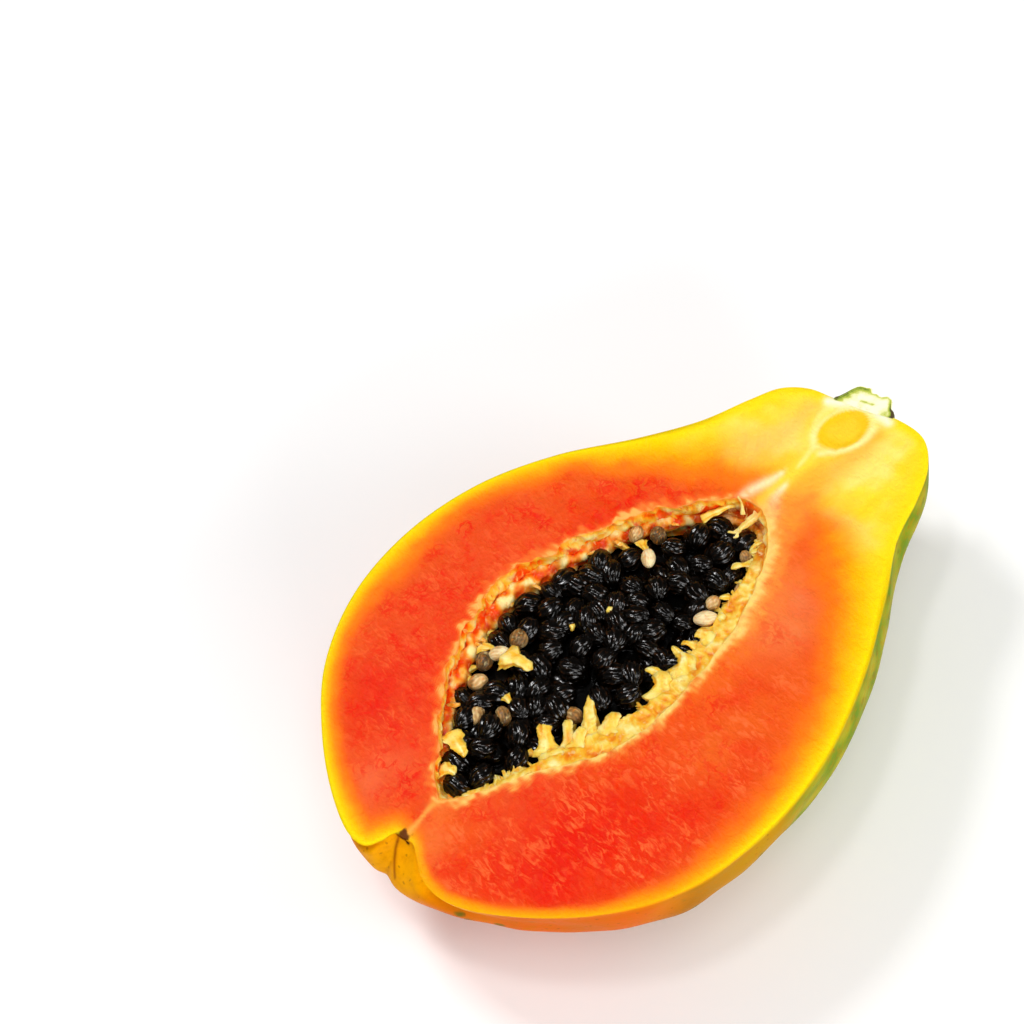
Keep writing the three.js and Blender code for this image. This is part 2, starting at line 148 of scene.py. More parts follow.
# Streaks in the cut face: points along and across, half widths from end to end, colour and strength.
STREAKS = [
    ([(128.3, 12.5), (135.9, 9.5), (146, 9.5)], (4.5, 3.5, 2.5), "#FEC75C", 0.75),
    ([(119, -7), (127, -5.5), (134, -6), (139, -6.6), (146, -7.2), (151, -7.4)],
     (4.5, 4, 3.8, 3.6, 3.4, 2.4), "#FDB63C", 0.8),
    ([(117, -5.5), (122, -6.5), (128, -7.5)], (2.6, 3, 1.5), "#FA8A30", 0.7),
    ([(118, 0), (125.2, 0.4), (131.3, 0.3), (137.7, 0)], (2.4, 3.2, 3, 1.8), "#FDDE40", 0.95),
    ([(115.6, 4.8), (119.8, 4.1), (123.5, 3), (128, 2)], (1, 1.4, 1.2, 0.6), "#FFF2C0", 0.8),
    ([(116.4, -4.8), (118.6, -3), (121.3, -1.3), (126, -0.6)], (1.2, 1.6, 1.3, 0.6), "#FFF2C0", 0.8),
    ([(132, 0.6), (137.8, 1.6), (141.3, 4.4), (145, 6), (150, 6.4)],
     (0.5, 0.8, 0.9, 1, 1.6), "#FFF08C", 0.7),
    ([(137.3, -0.6), (140, -2.2), (144, -5), (149, -6.2), (152, -5.6)],
     (0.6, 0.7, 0.7, 0.8, 1), "#FFF3A0", 0.8),
    ([(150.4, 7.6), (152.5, 5), (155.5, 0), (156, -4), (155.6, -7)],
     (1.2, 2, 2.2, 2, 1.2), "#FFFBDC", 0.95),
    ([(12, 1), (8, 0.8), (4, 0.3), (1, 0)], (0.9, 0.7, 0.7, 0.8), "#FDB04C", 0.8),
    ([(11, -1), (6, -4), (2, -8)], (3, 3.5, 2.5), "#FB9440", 0.3),
]
# The broken top of the stalk's stub: across, and how far along it reaches.
STUB_TOP = [
    (-8, 156.6), (-7.1, 157.6), (-6.5, 158.5), (-5.4, 159.1), (-4.5, 159.7), (-3.4, 161), (-2.2, 161),
    (-1.2, 160.5), (0, 159.8), (1.2, 160), (2.6, 160.3), (4, 160), (5, 159), (5.6, 157.4), (6.2, 155),
    (6.8, 153.2), (7.6, 152),
]
# The yellow oval below the stalk: its middle and half sizes, along and across, and its turn in radians.
OVAL_MIDDLE, OVAL_HALF, OVAL_TILT = (146.7, -0.5), (7.3, 4.6), -0.16
# The thin strand near the stalk with its two tips, and a short one: start, middle and end of each, by
# along, across and below the cut face. Their half widths follow.
FORK = [
    [(117, -0.2, 3.6), (113, -1, 1.0), (109, -0.5, 1.6)],
    [(109.6, -0.5, 1.5), (108.6, -0.2, 1.2), (107.2, 0.7, 1.5)],
    [(109.6, -0.5, 1.6), (108.4, -0.9, 1.4), (107.4, -1.2, 1.8)],
    [(113.5, 1.8, 1.8), (115, 3.4, 0.2), (116, 5.4, 0.4)],
]
FORK_HALF = (0.85, 0.4, 0.4, 0.3)
# The placenta's colours, from its hollows to its ridges: partly its own orange and yellow, partly painted
# shade in the hollows and painted highlight on the ridges.
FIBRE_AND_PAINTED_LIGHT = [(-0.7, "#F07C08"), (-0.3, "#FFA81C"), (0.05, "#FFC438"), (0.4, "#FFD860"), (0.9, "#FFEEA0")]
# Flaps of torn placenta: where each starts and ends, along and across, how wide, how far below the cut face.
FLAPS = [
    ((37.4, -7.6), (42.7, -2), 4.3, 2.4), ((42.4, -11.2), (46.5, -5), 3.2, 2.4),
    ((46.5, -13.5), (54.8, -4.4), 3.6, 2), ((50.5, -15.4), (55.2, -11.6), 4.6, 2),
    ((35.6, -7.5), (41.6, -11.5), 2.2, 1.8), ((26, 11.4), (23.6, 5.4), 3.4, 1.8),
    ((18.6, 6.8), (19.8, 3.6), 3, 2), ((41.3, 10.5), (41, 6.8), 2, 2.6),
    ((48.6, 16.5), (50.2, 9.6), 4, 1.2), ((64.6, 13.2), (64.2, 10), 2, 2.4),
    ((75.4, 8.6), (72.6, 6.5), 1.4, 2), ((46.6, 23.2), (48, 18.6), 1.8, 2.6),
    ((107, 9), (115.6, 4.6), 1.6, 2.4), ((92.6, 15.5), (90, 10.4), 1.6, 2.6),
    ((107, -9.4), (101.2, -6), 2, 1.8), ((80.8, -14), (78.6, -11), 1.8, 1.6),
    ((70, -14.5), (68.6, -9.4), 2.4, 2), ((42.6, -12.4), (47.6, -9.2), 3.6, 1.8),
    ((75.6, -14.5), (77, -10), 1.8, 1.8), ((66.2, -17), (70.4, -12.2), 4.8, 1.6),
    ((73, -17.4), (77.4, -13.4), 4.8, 1.4), ((84.5, -16), (83.5, -11.4), 4.2, 1.4),
    ((90, -15), (90.6, -11.8), 2.6, 1.6), ((30, -6.4), (32, -2.6), 2.2, 2.4),
    ((96, -12.6), (94, -9), 1.8, 2),
]


def linear(code):
    """An sRGB hex colour as linear red, green, blue and alpha."""
    parts = np.array([int(code[i:i + 2], 16) for i in (1, 3, 5)]) / 255
    low, high = parts / 12.92, ((parts + 0.055) / 1.055) ** 2.4
    return (*(float(v) for v in np.where(parts <= 0.04045, low, high)), 1.0)


def ramp(value, start, end):
    """0 at start, 1 at end, straight between and flat outside."""
    return np.clip((value - start) / (end - start), 0, 1)


def soft(value, start, end):
    """As ramp, with eased ends: 3 r squared less 2 r cubed."""
    r = ramp(value, start, end)
    return r * r * (3 - 2 * r)


def through(points, t):
    """A smooth line through points at t from 0 to 1: a centripetal Catmull-Rom curve, each span a cubic
    whose end slopes come from the neighbouring points, weighted by the root of their distances."""
    p = np.asarray(points, float)
    spans = len(p) - 1
    t = np.asarray(t, float) * spans
    i = np.minimum(np.floor(t).astype(int), spans - 1)
    w = (t - i)[..., None]
    p = np.vstack([2 * p[0] - p[1], p, 2 * p[-1] - p[-2]])
    a, b, c, d = p[i], p[i + 1], p[i + 2], p[i + 3]

    def root(u, v):
        return np.maximum(((u - v) ** 2).sum(-1, keepdims=True), 1e-12) ** 0.25

    ab, bc, cd = root(a, b), root(b, c), root(c, d)
    m = ((b - a) / ab - (c - a) / (ab + bc) + (c - b) / bc) * bc
    n = ((c - b) / bc - (d - b) / (bc + cd) + (d - c) / cd) * bc
    return b + m * w + (3 * c - 3 * b - 2 * m - n) * w ** 2 + (2 * b - 2 * c + m + n) * w ** 3


def place(along, across, depth):
    """From a place measured from the scar, across and below the cut face, to the part's frame."""
    return np.stack(np.broadcast_arrays(along - REST_X, across, CUT_HEIGHT - depth), -1)


def swell(points, size, seed, waves=14):
    """A smooth random height at each point, about -1 to 1: the sum of waves in random directions, of about
    the given length in millimetres."""
    rng = np.random.default_rng(seed)
    way = rng.normal(size=(waves, 3))
    way *= (2 * math.pi / size) * rng.uniform(0.6, 1.5, (waves, 1)) / np.linalg.norm(
        way, axis=1, keepdims=True)
    phase = rng.uniform(0, 2 * math.pi, waves)
    return np.sin(points @ way.T + phase).sum(-1) / math.sqrt(waves)


def skin_points(t, angle):
    """The skin at t along the outlines and at the angle round the fruit: the side's outline swings down into
    the underside's with the squares of cosine and sine, and grooves part the lobes of the blossom end."""
    c, s = np.cos(angle), np.sin(angle)
    side = np.where((c > 0)[..., None], through(FAR_SIDE, t), through(NEAR_SIDE, t))
    under = through(UNDERSIDE, t)
    row = t * (len(UNDERSIDE) - 1)
    groove = ramp(row, 1.2, 3) * ramp(row, 7, 4) * sum(
        deep * np.exp(-((angle - math.radians(at)) / GROOVE_WIDTH) ** 2) for at, deep in GROOVES)
    ribs = RIB * s * np.cos(5 * (angle - math.radians(GROOVES[0][0]))) * ramp(row, 4, 7) * ramp(row, 16, 13)
    size = (1 - 0.05 * groove) * (1 - ribs)
    points = place(
        side[..., 0] * c * c + under[..., 0] * s * s + GROOVE_DEPTH * groove,
        side[..., 1] * c * (1 + side[..., 2] * s) * size,
        under[..., 1] * s * size)
    points[..., 2] = np.maximum(points[..., 2], 0)
    return points


def cavity_points(t, angle, inset=0.0):
    """The wall of the seed cavity, from the far rim over the floor to the near rim: the rim swings into the
    floor's line, steeply on the far side and in a slope on the near one."""
    c, s = np.cos(angle), np.sin(angle)
    rim = np.where((c > 0)[..., None], through(FAR_RIM, t), through(NEAR_RIM, t))
    floor = through(FLOOR, t)
    steep = np.where(c > 0, 0.75, 1.15)
    reach = (rim[..., 1] - floor[..., 1]) * np.abs(c) ** steep
    return place(
        rim[..., 0] * c * c + floor[..., 0] * s * s + inset * 2.5 * np.cos(math.pi * t),
        floor[..., 1] + np.sign(reach) * np.maximum(np.abs(reach) - inset * 1.4 * np.abs(c), 0),
        np.maximum(floor[..., 2] * s - inset * 1.4 * s, 0))


def net(rows, width, first=0):
    """Two triangles for each cell of a grid of points, rows by width."""
    a = (np.arange(rows - 1)[:, None] * width + np.arange(width - 1)).ravel() + first
    b = a + width
    return np.concatenate([np.stack([a, b, b + 1], 1), np.stack([a, b + 1, a + 1], 1)])


def closed_net(rows, sides):
    """Triangles of a closed skin: a pole, rows of points all the way round, and another pole."""
    j = np.arange(sides)
    k = (j + 1) % sides
    row = 1 + np.arange(rows - 1)[:, None] * sides
    a, b = (row + j).ravel(), (row + k).ravel()
    last = 1 + rows * sides
    return np.concatenate([
        np.stack([a, b, b + sides], 1), np.stack([a, b + sides, a + sides], 1),
        np.stack([0 * j, 1 + k, 1 + j], 1), np.stack([0 * j + last, last - sides + j, last - sides + k], 1)])


def welded(points, faces, marks):
    """One point for each place, and no face that has shrunk to a line. Gives also which points were kept."""
    _, first, back = np.unique(np.round(points, 4), axis=0, return_index=True, return_inverse=True)
    faces = back.ravel()[faces]
    good = (faces[:, 0] != faces[:, 1]) & (faces[:, 1] != faces[:, 2]) & (faces[:, 2] != faces[:, 0])
    return points[first], faces[good], marks[good], first


def outward(points, faces):
    """The faces of a closed surface, turned round if the volume they enclose comes out negative."""
    corners = points[faces]
    volume = np.einsum("ij,ij->i", corners[:, 0], np.cross(corners[:, 1], corners[:, 2])).sum()
    return faces[:, ::-1] if volume < 0 else faces


def put(name, points, faces, materials, nodes, marks=None, values=None, sharp=None):
    """A closed mesh object from points in millimetres, faces, a material number for each face and named
    values or colours for each point. It rides on the root body and stands for the nodes."""
    faces = outward(points, faces)
    mesh = bpy.data.meshes.new(name)
    mesh.from_pydata((points * MM).tolist(), [], faces.tolist())
    for material in materials:
        mesh.materials.append(material)
    if marks is not None:
        mesh.polygons.foreach_set("material_index", marks.astype(np.int32))
    for key, numbers in (values or {}).items():
        colour = numbers.ndim == 2
        layer = mesh.attributes.new(key, "FLOAT_COLOR" if colour else "FLOAT", "POINT")
        layer.data.foreach_set("color" if colour else "value", np.ravel(numbers).astype(np.float32))
    mesh.polygons.foreach_set("use_smooth", np.ones(len(faces), dtype=bool))
    if sharp:
        mesh.set_sharp_from_angle(angle=math.radians(sharp))
    mesh.update()
    piece = bpy.data.objects.new(name, mesh)
    bpy.context.collection.objects.link(piece)
    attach(piece, "root")
    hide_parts(*nodes)


def graded(value, stops):
    """Colours for values: straight between stops, each a value and an sRGB colour."""
    codes = np.array([linear(code) for _, code in stops])
    return np.stack([np.interp(value, [at for at, _ in stops], codes[:, i]) for i in range(4)], -1)


def over(under, paint, share):
    """Paint over colours: the share goes from 0, none, to 1, full cover."""
    share = np.asarray(share)[..., None]
    return under * (1 - share) + (np.array(linear(paint)) if isinstance(paint, str) else paint) * share


def add(tree, kind, out, inputs=None, stops=None, **settings):
    """Adds a shader node with its settings, its inputs, each a value, an sRGB colour or another node's
    output, and a ramp's stops, and gives its named or numbered output."""
    made = tree.nodes.new("ShaderNode" + kind)
    for key, value in settings.items():
        setattr(made, key, value)
    for key, value in (inputs or {}).items():
        if isinstance(value, bpy.types.NodeSocket):
            tree.links.new(value, made.inputs[key])
        else:
            made.inputs[key].default_value = linear(value) if isinstance(value, str) else value
    if stops:
        points = made.color_ramp.elements
        while len(points) < len(stops):
            points.new(0.5)
        for point, (at, colour) in zip(points, stops):
            point.position = at
            point.color = linear(colour)
    return made.outputs[out]


def new_material(name, constants):
    """A node material, its tree, its shader's sockets, set to the constants, and the object's coordinates."""
    material = bpy.data.materials.new(name)
    material.use_nodes = True
    tree = material.node_tree
    shader = tree.nodes["Principled BSDF"].inputs
    for key, value in constants.items():
        shader[key].default_value = value
    return material, tree, shader, add(tree, "TexCoord", "Object")


def flesh_material():
    """Ripe papaya flesh, cut with a knife: moist, soft and slightly see-through, with a silky gloss. Its
    fibres run from the cavity to the skin and show as short pale strokes and thin dark-red squiggles, and the
    torn pulp in the cavity is streaked with cream and red-orange."""
    material, tree, shader, where = new_material("ripe papaya flesh, cut with a knife", {
        "IOR": 1.25, "Specular IOR Level": 0.24, "Subsurface Weight": 0.3,
        "Subsurface Radius": (1.0, 0.35, 0.1), "Subsurface Scale": 0.003})
    tint = add(tree, "Attribute", "Color", attribute_name="tint")
    strokes = add(tree, "Attribute", "Fac", attribute_name="strokes")
    squiggles = add(tree, "Attribute", "Fac", attribute_name="squiggles")
    pulp = add(tree, "Attribute", "Fac", attribute_name="pulp")
    # Strokes 0.5 mm wide and 1.5 mm long, across the fruit, in patches 9 mm wide.
    across = add(tree, "Mapping", "Vector", {"Vector": where, "Scale": (1.0, 0.4, 1.0)})
    relief = add(tree, "TexNoise", "Fac", {
        "Vector": across, "Scale": 1000 / 1.3, "Detail": 5.0, "Roughness": 0.62, "Distortion": 0.9})
    pale = add(tree, "MapRange", "Result", {
        "Value": relief, "From Min": 0.44, "From Max": 0.68}, interpolation_type="SMOOTHSTEP")
    patch = add(tree, "TexNoise", "Fac", {"Vector": where, "Scale": 1000 / 9, "Detail": 4.0})
    patch = add(tree, "MapRange", "Result", {
        "Value": patch, "From Min": 0.36, "From Max": 0.62, "To Min": 0.15}, interpolation_type="SMOOTHSTEP")
    pale = add(tree, "Math", "Value", {0: pale, 1: patch}, operation="MULTIPLY")
    pale = add(tree, "Math", "Value", {0: pale, 1: strokes}, operation="MULTIPLY")
    # Squiggles lie where a smooth noise of 2.6 mm passes through its middle, broken up by a second one.
    line = add(tree, "TexNoise", "Fac", {
        "Vector": where, "Scale": 1000 / 2.6, "Detail": 3.0, "Roughness": 0.55, "Distortion": 0.8})
    line = add(tree, "Math", "Value", {0: line, 1: 0.5}, operation="SUBTRACT")
    line = add(tree, "Math", "Value", {0: line}, operation="ABSOLUTE")
    line = add(tree, "MapRange", "Result", {
        "Value": line, "From Min": 0.01, "From Max": 0.1, "To Min": 1.0, "To Max": 0.0},
        interpolation_type="SMOOTHSTEP")
    broken = add(tree, "TexNoise", "Fac", {"Vector": where, "Scale": 1000 / 5.5, "Detail": 4.0})
    broken = add(tree, "MapRange", "Result", {
        "Value": broken, "From Min": 0.42, "From Max": 0.62}, interpolation_type="SMOOTHSTEP")
    line = add(tree, "Math", "Value", {0: line, 1: broken}, operation="MULTIPLY")
    line = add(tree, "Math", "Value", {0: line, 1: squiggles}, operation="MULTIPLY")
    body = add(tree, "Mix", 2, {0: pale, 6: tint, 7: "#FB7236"}, data_type="RGBA")
    body = add(tree, "Mix", 2, {0: line, 6: body, 7: "#EA1602"}, data_type="RGBA")
    # Pulp streaks, 0.5 mm wide and 2 mm long, down into the cavity.
    down = add(tree, "Mapping", "Vector", {"Vector": where, "Scale": (1.0, 0.8, 0.35)})
    torn = add(tree, "TexNoise", "Fac", {
        "Vector": down, "Scale": 1000 / 1.6, "Detail": 4.0, "Roughness": 0.6, "Distortion": 1.0})
    cream = add(tree, "MapRange", "Result", {
        "Value": torn, "From Min": 0.54, "From Max": 0.7}, interpolation_type="SMOOTHSTEP")
    cream = add(tree, "Math", "Value", {0: cream, 1: pulp}, operation="MULTIPLY")
    deep = add(tree, "MapRange", "Result", {
        "Value": torn, "From Min": 0.44, "From Max": 0.3}, interpolation_type="SMOOTHSTEP")
    deep = add(tree, "Math", "Value", {0: deep, 1: pulp}, operation="MULTIPLY")
    body = add(tree, "Mix", 2, {0: cream, 6: body, 7: "#FFCE70"}, data_type="RGBA")
    body = add(tree, "Mix", 2, {0: deep, 6: body, 7: "#F03A00"}, data_type="RGBA")
    tree.links.new(body, shader["Base Color"])
    grain = add(tree, "TexNoise", "Fac", {"Vector": where, "Scale": 1000 / 1.1, "Detail": 4.0})
    gloss = add(tree, "MapRange", "Result", {
        "Value": grain, "From Min": 0.3, "From Max": 0.7, "To Min": 0.3, "To Max": 0.46})
    tree.links.new(gloss, shader["Roughness"])
    relief = add(tree, "Math", "Value", {0: relief, 1: grain}, operation="ADD")
    tree.links.new(add(tree, "Bump", "Normal", {
        "Height": relief, "Strength": 0.6, "Distance": 0.0006}), shader["Normal"])
    return material


def skin_material():
    """Papaya skin, thin and waxy with a soft gloss: yellow and orange where ripe, still green in places, with
    brown freckles, clusters of dark green spots, and fine pores."""
    material, tree, shader, where = new_material("waxy papaya skin", {
        "IOR": 1.05, "Coat Weight": 0.04, "Coat Roughness": 0.15})
    tint = add(tree, "Attribute", "Color", attribute_name="tint")
    blotches = add(tree, "Attribute", "Fac", attribute_name="blotches")
    # Clusters of spots 2 mm across, their edges made uneven.
    shaky = add(tree, "TexNoise", "Color", {"Vector": where, "Scale": 1000 / 3, "Detail": 3.0})
    shaky = add(tree, "VectorMath", "Vector", {0: shaky, "Scale": 0.0022}, operation="SCALE")
    shaky = add(tree, "VectorMath", "Vector", {0: where, 1: shaky}, operation="ADD")
    spots = add(tree, "TexVoronoi", "Distance", {"Vector": shaky, "Scale": 1000 / 6})
    spots = add(tree, "MapRange", "Result", {
        "Value": spots, "From Min": 0.3, "From Max": 0.1}, interpolation_type="SMOOTHSTEP")
    spots = add(tree, "Math", "Value", {0: spots, 1: blotches}, operation="MULTIPLY")
    body = add(tree, "Mix", 2, {0: spots, 6: tint, 7: "#5A6414"}, data_type="RGBA")
    # Freckles 0.5 mm across.
    freckles = add(tree, "TexVoronoi", "Distance", {"Vector": shaky, "Scale": 1000 / 2.4})
    freckles = add(tree, "MapRange", "Result", {
        "Value": freckles, "From Min": 0.2, "From Max": 0.08, "To Max": 0.5}, interpolation_type="SMOOTHSTEP")
    body = add(tree, "Mix", 2, {0: freckles, 6: body, 7: "#8A4A08"}, data_type="RGBA")
    mottle = add(tree, "TexNoise", "Fac", {
        "Vector": where, "Scale": 1000 / 2.2, "Detail": 5.0, "Roughness": 0.65})
    dull = add(tree, "MapRange", "Result", {
        "Value": mottle, "From Min": 0.45, "From Max": 0.75, "To Max": 0.5})
    body = add(tree, "Mix", 2, {0: dull, 6: body, 7: "#C87400"}, data_type="RGBA")
    tree.links.new(body, shader["Base Color"])
    gloss = add(tree, "MapRange", "Result", {
        "Value": mottle, "From Min": 0.3, "From Max": 0.7, "To Min": 0.34, "To Max": 0.5})
    tree.links.new(gloss, shader["Roughness"])
    pores = add(tree, "TexNoise", "Fac", {"Vector": where, "Scale": 1000 / 0.8, "Detail": 3.0})
    tree.links.new(add(tree, "Bump", "Normal", {
        "Height": pores, "Strength": 0.3, "Distance": 0.0003}), shader["Normal"])
    return material


def seed_material():
    """Ripe papaya seeds, hard and wrinkled and wet with juice: nearly black, dark brown on the ridges, and so
    glossy that the light is drawn out into stripes along the ridges."""
    material, tree, shader, where = new_material("wet black papaya seed", {
        "Roughness": 0.15, "Anisotropic": 0.75, "IOR": 1.5, "Specular IOR Level": 0.45})
    ridge = add(tree, "Attribute", "Fac", attribute_name="ridge")
    tone = add(tree, "TexNoise", "Fac", {"Vector": where, "Scale": 1000 / 6, "Detail": 4.0})
    level = add(tree, "Math", "Value", {0: tone, 1: ridge}, operation="MULTIPLY")
    tree.links.new(add(tree, "ValToRGB", "Color", {"Fac": level}, stops=[
        (0.0, "#020100"), (0.3, "#0A0502"), (0.7, "#3C210C")]), shader["Base Color"])
    tree.links.new(add(tree, "Attribute", "Vector", attribute_name="lengthwise"), shader["Tangent"])
    grit = add(tree, "TexNoise", "Fac", {"Vector": where, "Scale": 1000 / 0.7, "Detail": 3.0})
    tree.links.new(add(tree, "Bump", "Normal", {
        "Height": grit, "Strength": 0.15, "Distance": 0.0001}), shader["Normal"])
    return material


def pulp_material():
    """Papaya placenta, torn by hand: soft moist yellow fibres, orange in their hollows, that carry the unripe
    seeds, cream to brown. The orange of the hollows and the cream of the ridges, given with the points, are
    partly painted shade and painted highlight."""
    material, tree, shader, where = new_material("torn papaya placenta", {
        "Roughness": 0.34, "IOR": 1.38, "Specular IOR Level": 0.4, "Subsurface Weight": 0.3,
        "Subsurface Radius": (1.0, 0.6, 0.25), "Subsurface Scale": 0.0015})
    tint = add(tree, "Attribute", "Color", attribute_name="tint")
    fine = add(tree, "TexNoise", "Fac", {
        "Vector": where, "Scale": 1000 / 1.3, "Detail": 4.0, "Roughness": 0.6, "Distortion": 0.8})
    pale = add(tree, "MapRange", "Result", {
        "Value": fine, "From Min": 0.54, "From Max": 0.72, "To Max": 0.5}, interpolation_type="SMOOTHSTEP")
    warm = add(tree, "MapRange", "Result", {
        "Value": fine, "From Min": 0.46, "From Max": 0.3, "To Max": 0.5}, interpolation_type="SMOOTHSTEP")
    body = add(tree, "Mix", 2, {0: pale, 6: tint, 7: "#FFEBA8"}, data_type="RGBA")
    body = add(tree, "Mix", 2, {0: warm, 6: body, 7: "#F08C0A"}, data_type="RGBA")
    tree.links.new(body, shader["Base Color"])
    tree.links.new(add(tree, "Bump", "Normal", {
        "Height": fine, "Strength": 0.5, "Distance": 0.0003}), shader["Normal"])
    return material


def stalk_material():
    """A papaya stalk, snapped and cut: pale and fibrous inside, its rind olive green with brown specks."""
    material, tree, shader, where = new_material("cut papaya stalk", {"Roughness": 0.6})
    rind = add(tree, "Attribute", "Fac", attribute_name="rind")
    coarse = add(tree, "TexNoise", "Fac", {
        "Vector": where, "Scale": 1000 / 2, "Detail": 5.0, "Roughness": 0.65})
    level = add(tree, "MapRange", "Result", {
        "Value": coarse, "From Min": 0.3, "From Max": 0.7, "To Min": -0.22, "To Max": 0.22})
    level = add(tree, "Math", "Value", {0: rind, 1: level}, operation="ADD")
    tree.links.new(add(tree, "ValToRGB", "Color", {"Fac": level}, stops=[
        (0.0, "#FFF8D8"), (0.3, "#F2F0A8"), (0.55, "#C4CC4A"), (0.85, "#7E9420"), (1.0, "#4E3C12")]),
        shader["Base Color"])
    tree.links.new(add(tree, "Bump", "Normal", {
        "Height": coarse, "Strength": 0.7, "Distance": 0.0005}), shader["Normal"])
    return material


def nearest(points, lines, wide=1.0):
    """The distance across the cut face from each point to the nearest of the lines' points, in shares of the
    width there."""
    out = np.empty(len(points))
    for start in range(0, len(points), 4000):
        part = points[start:start + 4000, None, :2] - lines[None, :, :2]
        out[start:start + 4000] = (np.sqrt((part ** 2).sum(-1)) / wide).min(1)
    return out


def dense_line(rows, count=80):
    """Points in the part's frame along a smooth line whose points are given along and across."""
    line = through(rows, np.linspace(0, 1, count))
    return place(line[:, 0], line[:, 1], 0)


def eased(count):
    """Fractions from 0 to 1 that lie closer together at both ends: half straight, half a cosine's."""
    t = np.linspace(0, 1, count)
    return 0.5 * (t + (1 - np.cos(math.pi * t)) / 2)


def flesh_colours(points, from_skin, from_rim, looks):
    """The cut face's colours, from the skin's yellow band through orange to red flesh, with patches, a pale
    neck, streaks, and the pale torn edge of the cavity. Gives also how strong strokes and squiggles are."""
    along, across = points[:, 0] + REST_X, points[:, 1]
    far = soft(across, -8, 6)
    band = far * np.interp(along, *zip(*FAR_BAND)) + (1 - far) * np.interp(along, *zip(*NEAR_BAND))
    share = from_skin / band
    share = (share + 0.14 * swell(points, 16, 51) * ramp(share, 0.1, 1)
             + 0.07 * swell(points, 5, 52) * ramp(share, 0.3, 1))
    colours = graded(share, FLESH_BAND)
    colours = over(colours, "#F99200", 0.7 * (1 - far) * soft(along, 62, 22) * soft(share, 1.4, 0.6))
    inner = soft(share, 1.3, 2.2)
    cloud = soft(swell(points, 34, 53), -0.4, 0.9)
    colours = over(colours, "#F66C34", 0.25 * cloud * inner)
    uneven = 1 + 0.25 * swell(points, 9, 54)
    for at, size, paint, amount in PATCHES:
        spread = np.exp(-((along - at[0]) / size[0]) ** 2 - ((across - at[1]) / size[1]) ** 2)
        colours = over(colours, paint, np.clip(amount * spread * inner * uneven, 0, 1))
    red = np.array([*looks.flesh_red, 1.0])
    colours = over(colours, red, 0.25 * inner * soft(swell(points, 13, 55), 0.2, 1.2))
    colours = colours * (1 - 0.08 * inner)[:, None]
    neck = soft(along + 0.25 * np.abs(across + 2) + 2 * swell(points, 14, 56), 124, 141)
    pale = graded(swell(points, 20, 57) + 0.4 * swell(points, 7, 58), [
        (-1, "#FDDA26"), (0, "#FEDF42"), (1, "#FFE972")])
    pale = over(pale, "#FFDF12", soft(from_skin, 4.5, 1))
    colours = over(colours, pale, neck)
    cover = np.zeros(len(points))
    for line, wide, paint, amount in STREAKS:
        path = dense_line(line)
        wide = np.interp(np.linspace(0, 1, len(path)), np.linspace(0, 1, len(wide)), wide)
        streak = amount * np.exp(-nearest(points, path, wide) ** 2)
        colours = over(colours, paint, streak)
        cover = np.maximum(cover, streak)
    ox, oy = along - OVAL_MIDDLE[0], across - OVAL_MIDDLE[1]
    c, s = math.cos(OVAL_TILT), math.sin(OVAL_TILT)
    oval = np.hypot((ox * c + oy * s) / OVAL_HALF[0], (oy * c - ox * s) / OVAL_HALF[1])
    colours = over(colours, "#FFEF9E", 0.7 * np.exp(-((oval - 1.12) / 0.12) ** 2))
    colours = over(colours, "#FDC818", 0.95 * soft(oval, 1.03, 0.93))
    colours = over(colours, "#FFD83C", 0.5 * soft(oval + 0.2 * swell(points, 6, 70), 0.8, 0.3))
    # The torn edge: a thin orange-cream line on the far side, a broad pale one, in orange flesh, on the near.
    edge = from_rim + 0.6 * swell(points, 4, 59) + 0.5 * swell(points, 1.8, 68)
    orange = (1 - far) * (0.22 * soft(along, 30, 45) + 0.38 * soft(along, 62, 86)) * (1 - neck)
    colours = over(colours, "#FC8A20", orange * soft(edge, 12, 0.5))
    colours = over(colours, "#FF9038", 0.7 * far * soft(edge, 2.2, 0.2))
    colours = over(colours, "#FFC468", 0.7 * far * soft(edge, 0.8, 0))
    broad = 1.6 + 2.6 * soft(along, 78, 98)
    colours = over(colours, "#FFAA48", 0.8 * (1 - far) * soft(edge / broad, 1.6, 0.3))
    colours = over(colours, "#FFD878", 0.9 * (1 - far) * soft(edge / broad, 0.8, 0))
    scar = soft(np.hypot(along - 0.2, across - 0.3) + 0.5 * swell(points, 1.7, 66), 2.1, 1.0)
    colours = over(colours, "#5A2206", 0.95 * scar)
    plain = inner * (1 - neck) * (1 - scar) * (1 - cover) * ramp(edge, 0.5, 3)
    strokes = plain * (0.4 + 0.45 * (1 - far) + 0.15 * swell(points, 18, 60))
    fewer = 0.3 * (1 - far) * soft(along, 60, 95)
    squiggles = plain * (0.4 + 0.25 * far + 0.2 * swell(points, 15, 61) - fewer)
    return colours, np.clip(strokes, 0, 0.9), np.clip(squiggles, 0, 0.9), oval


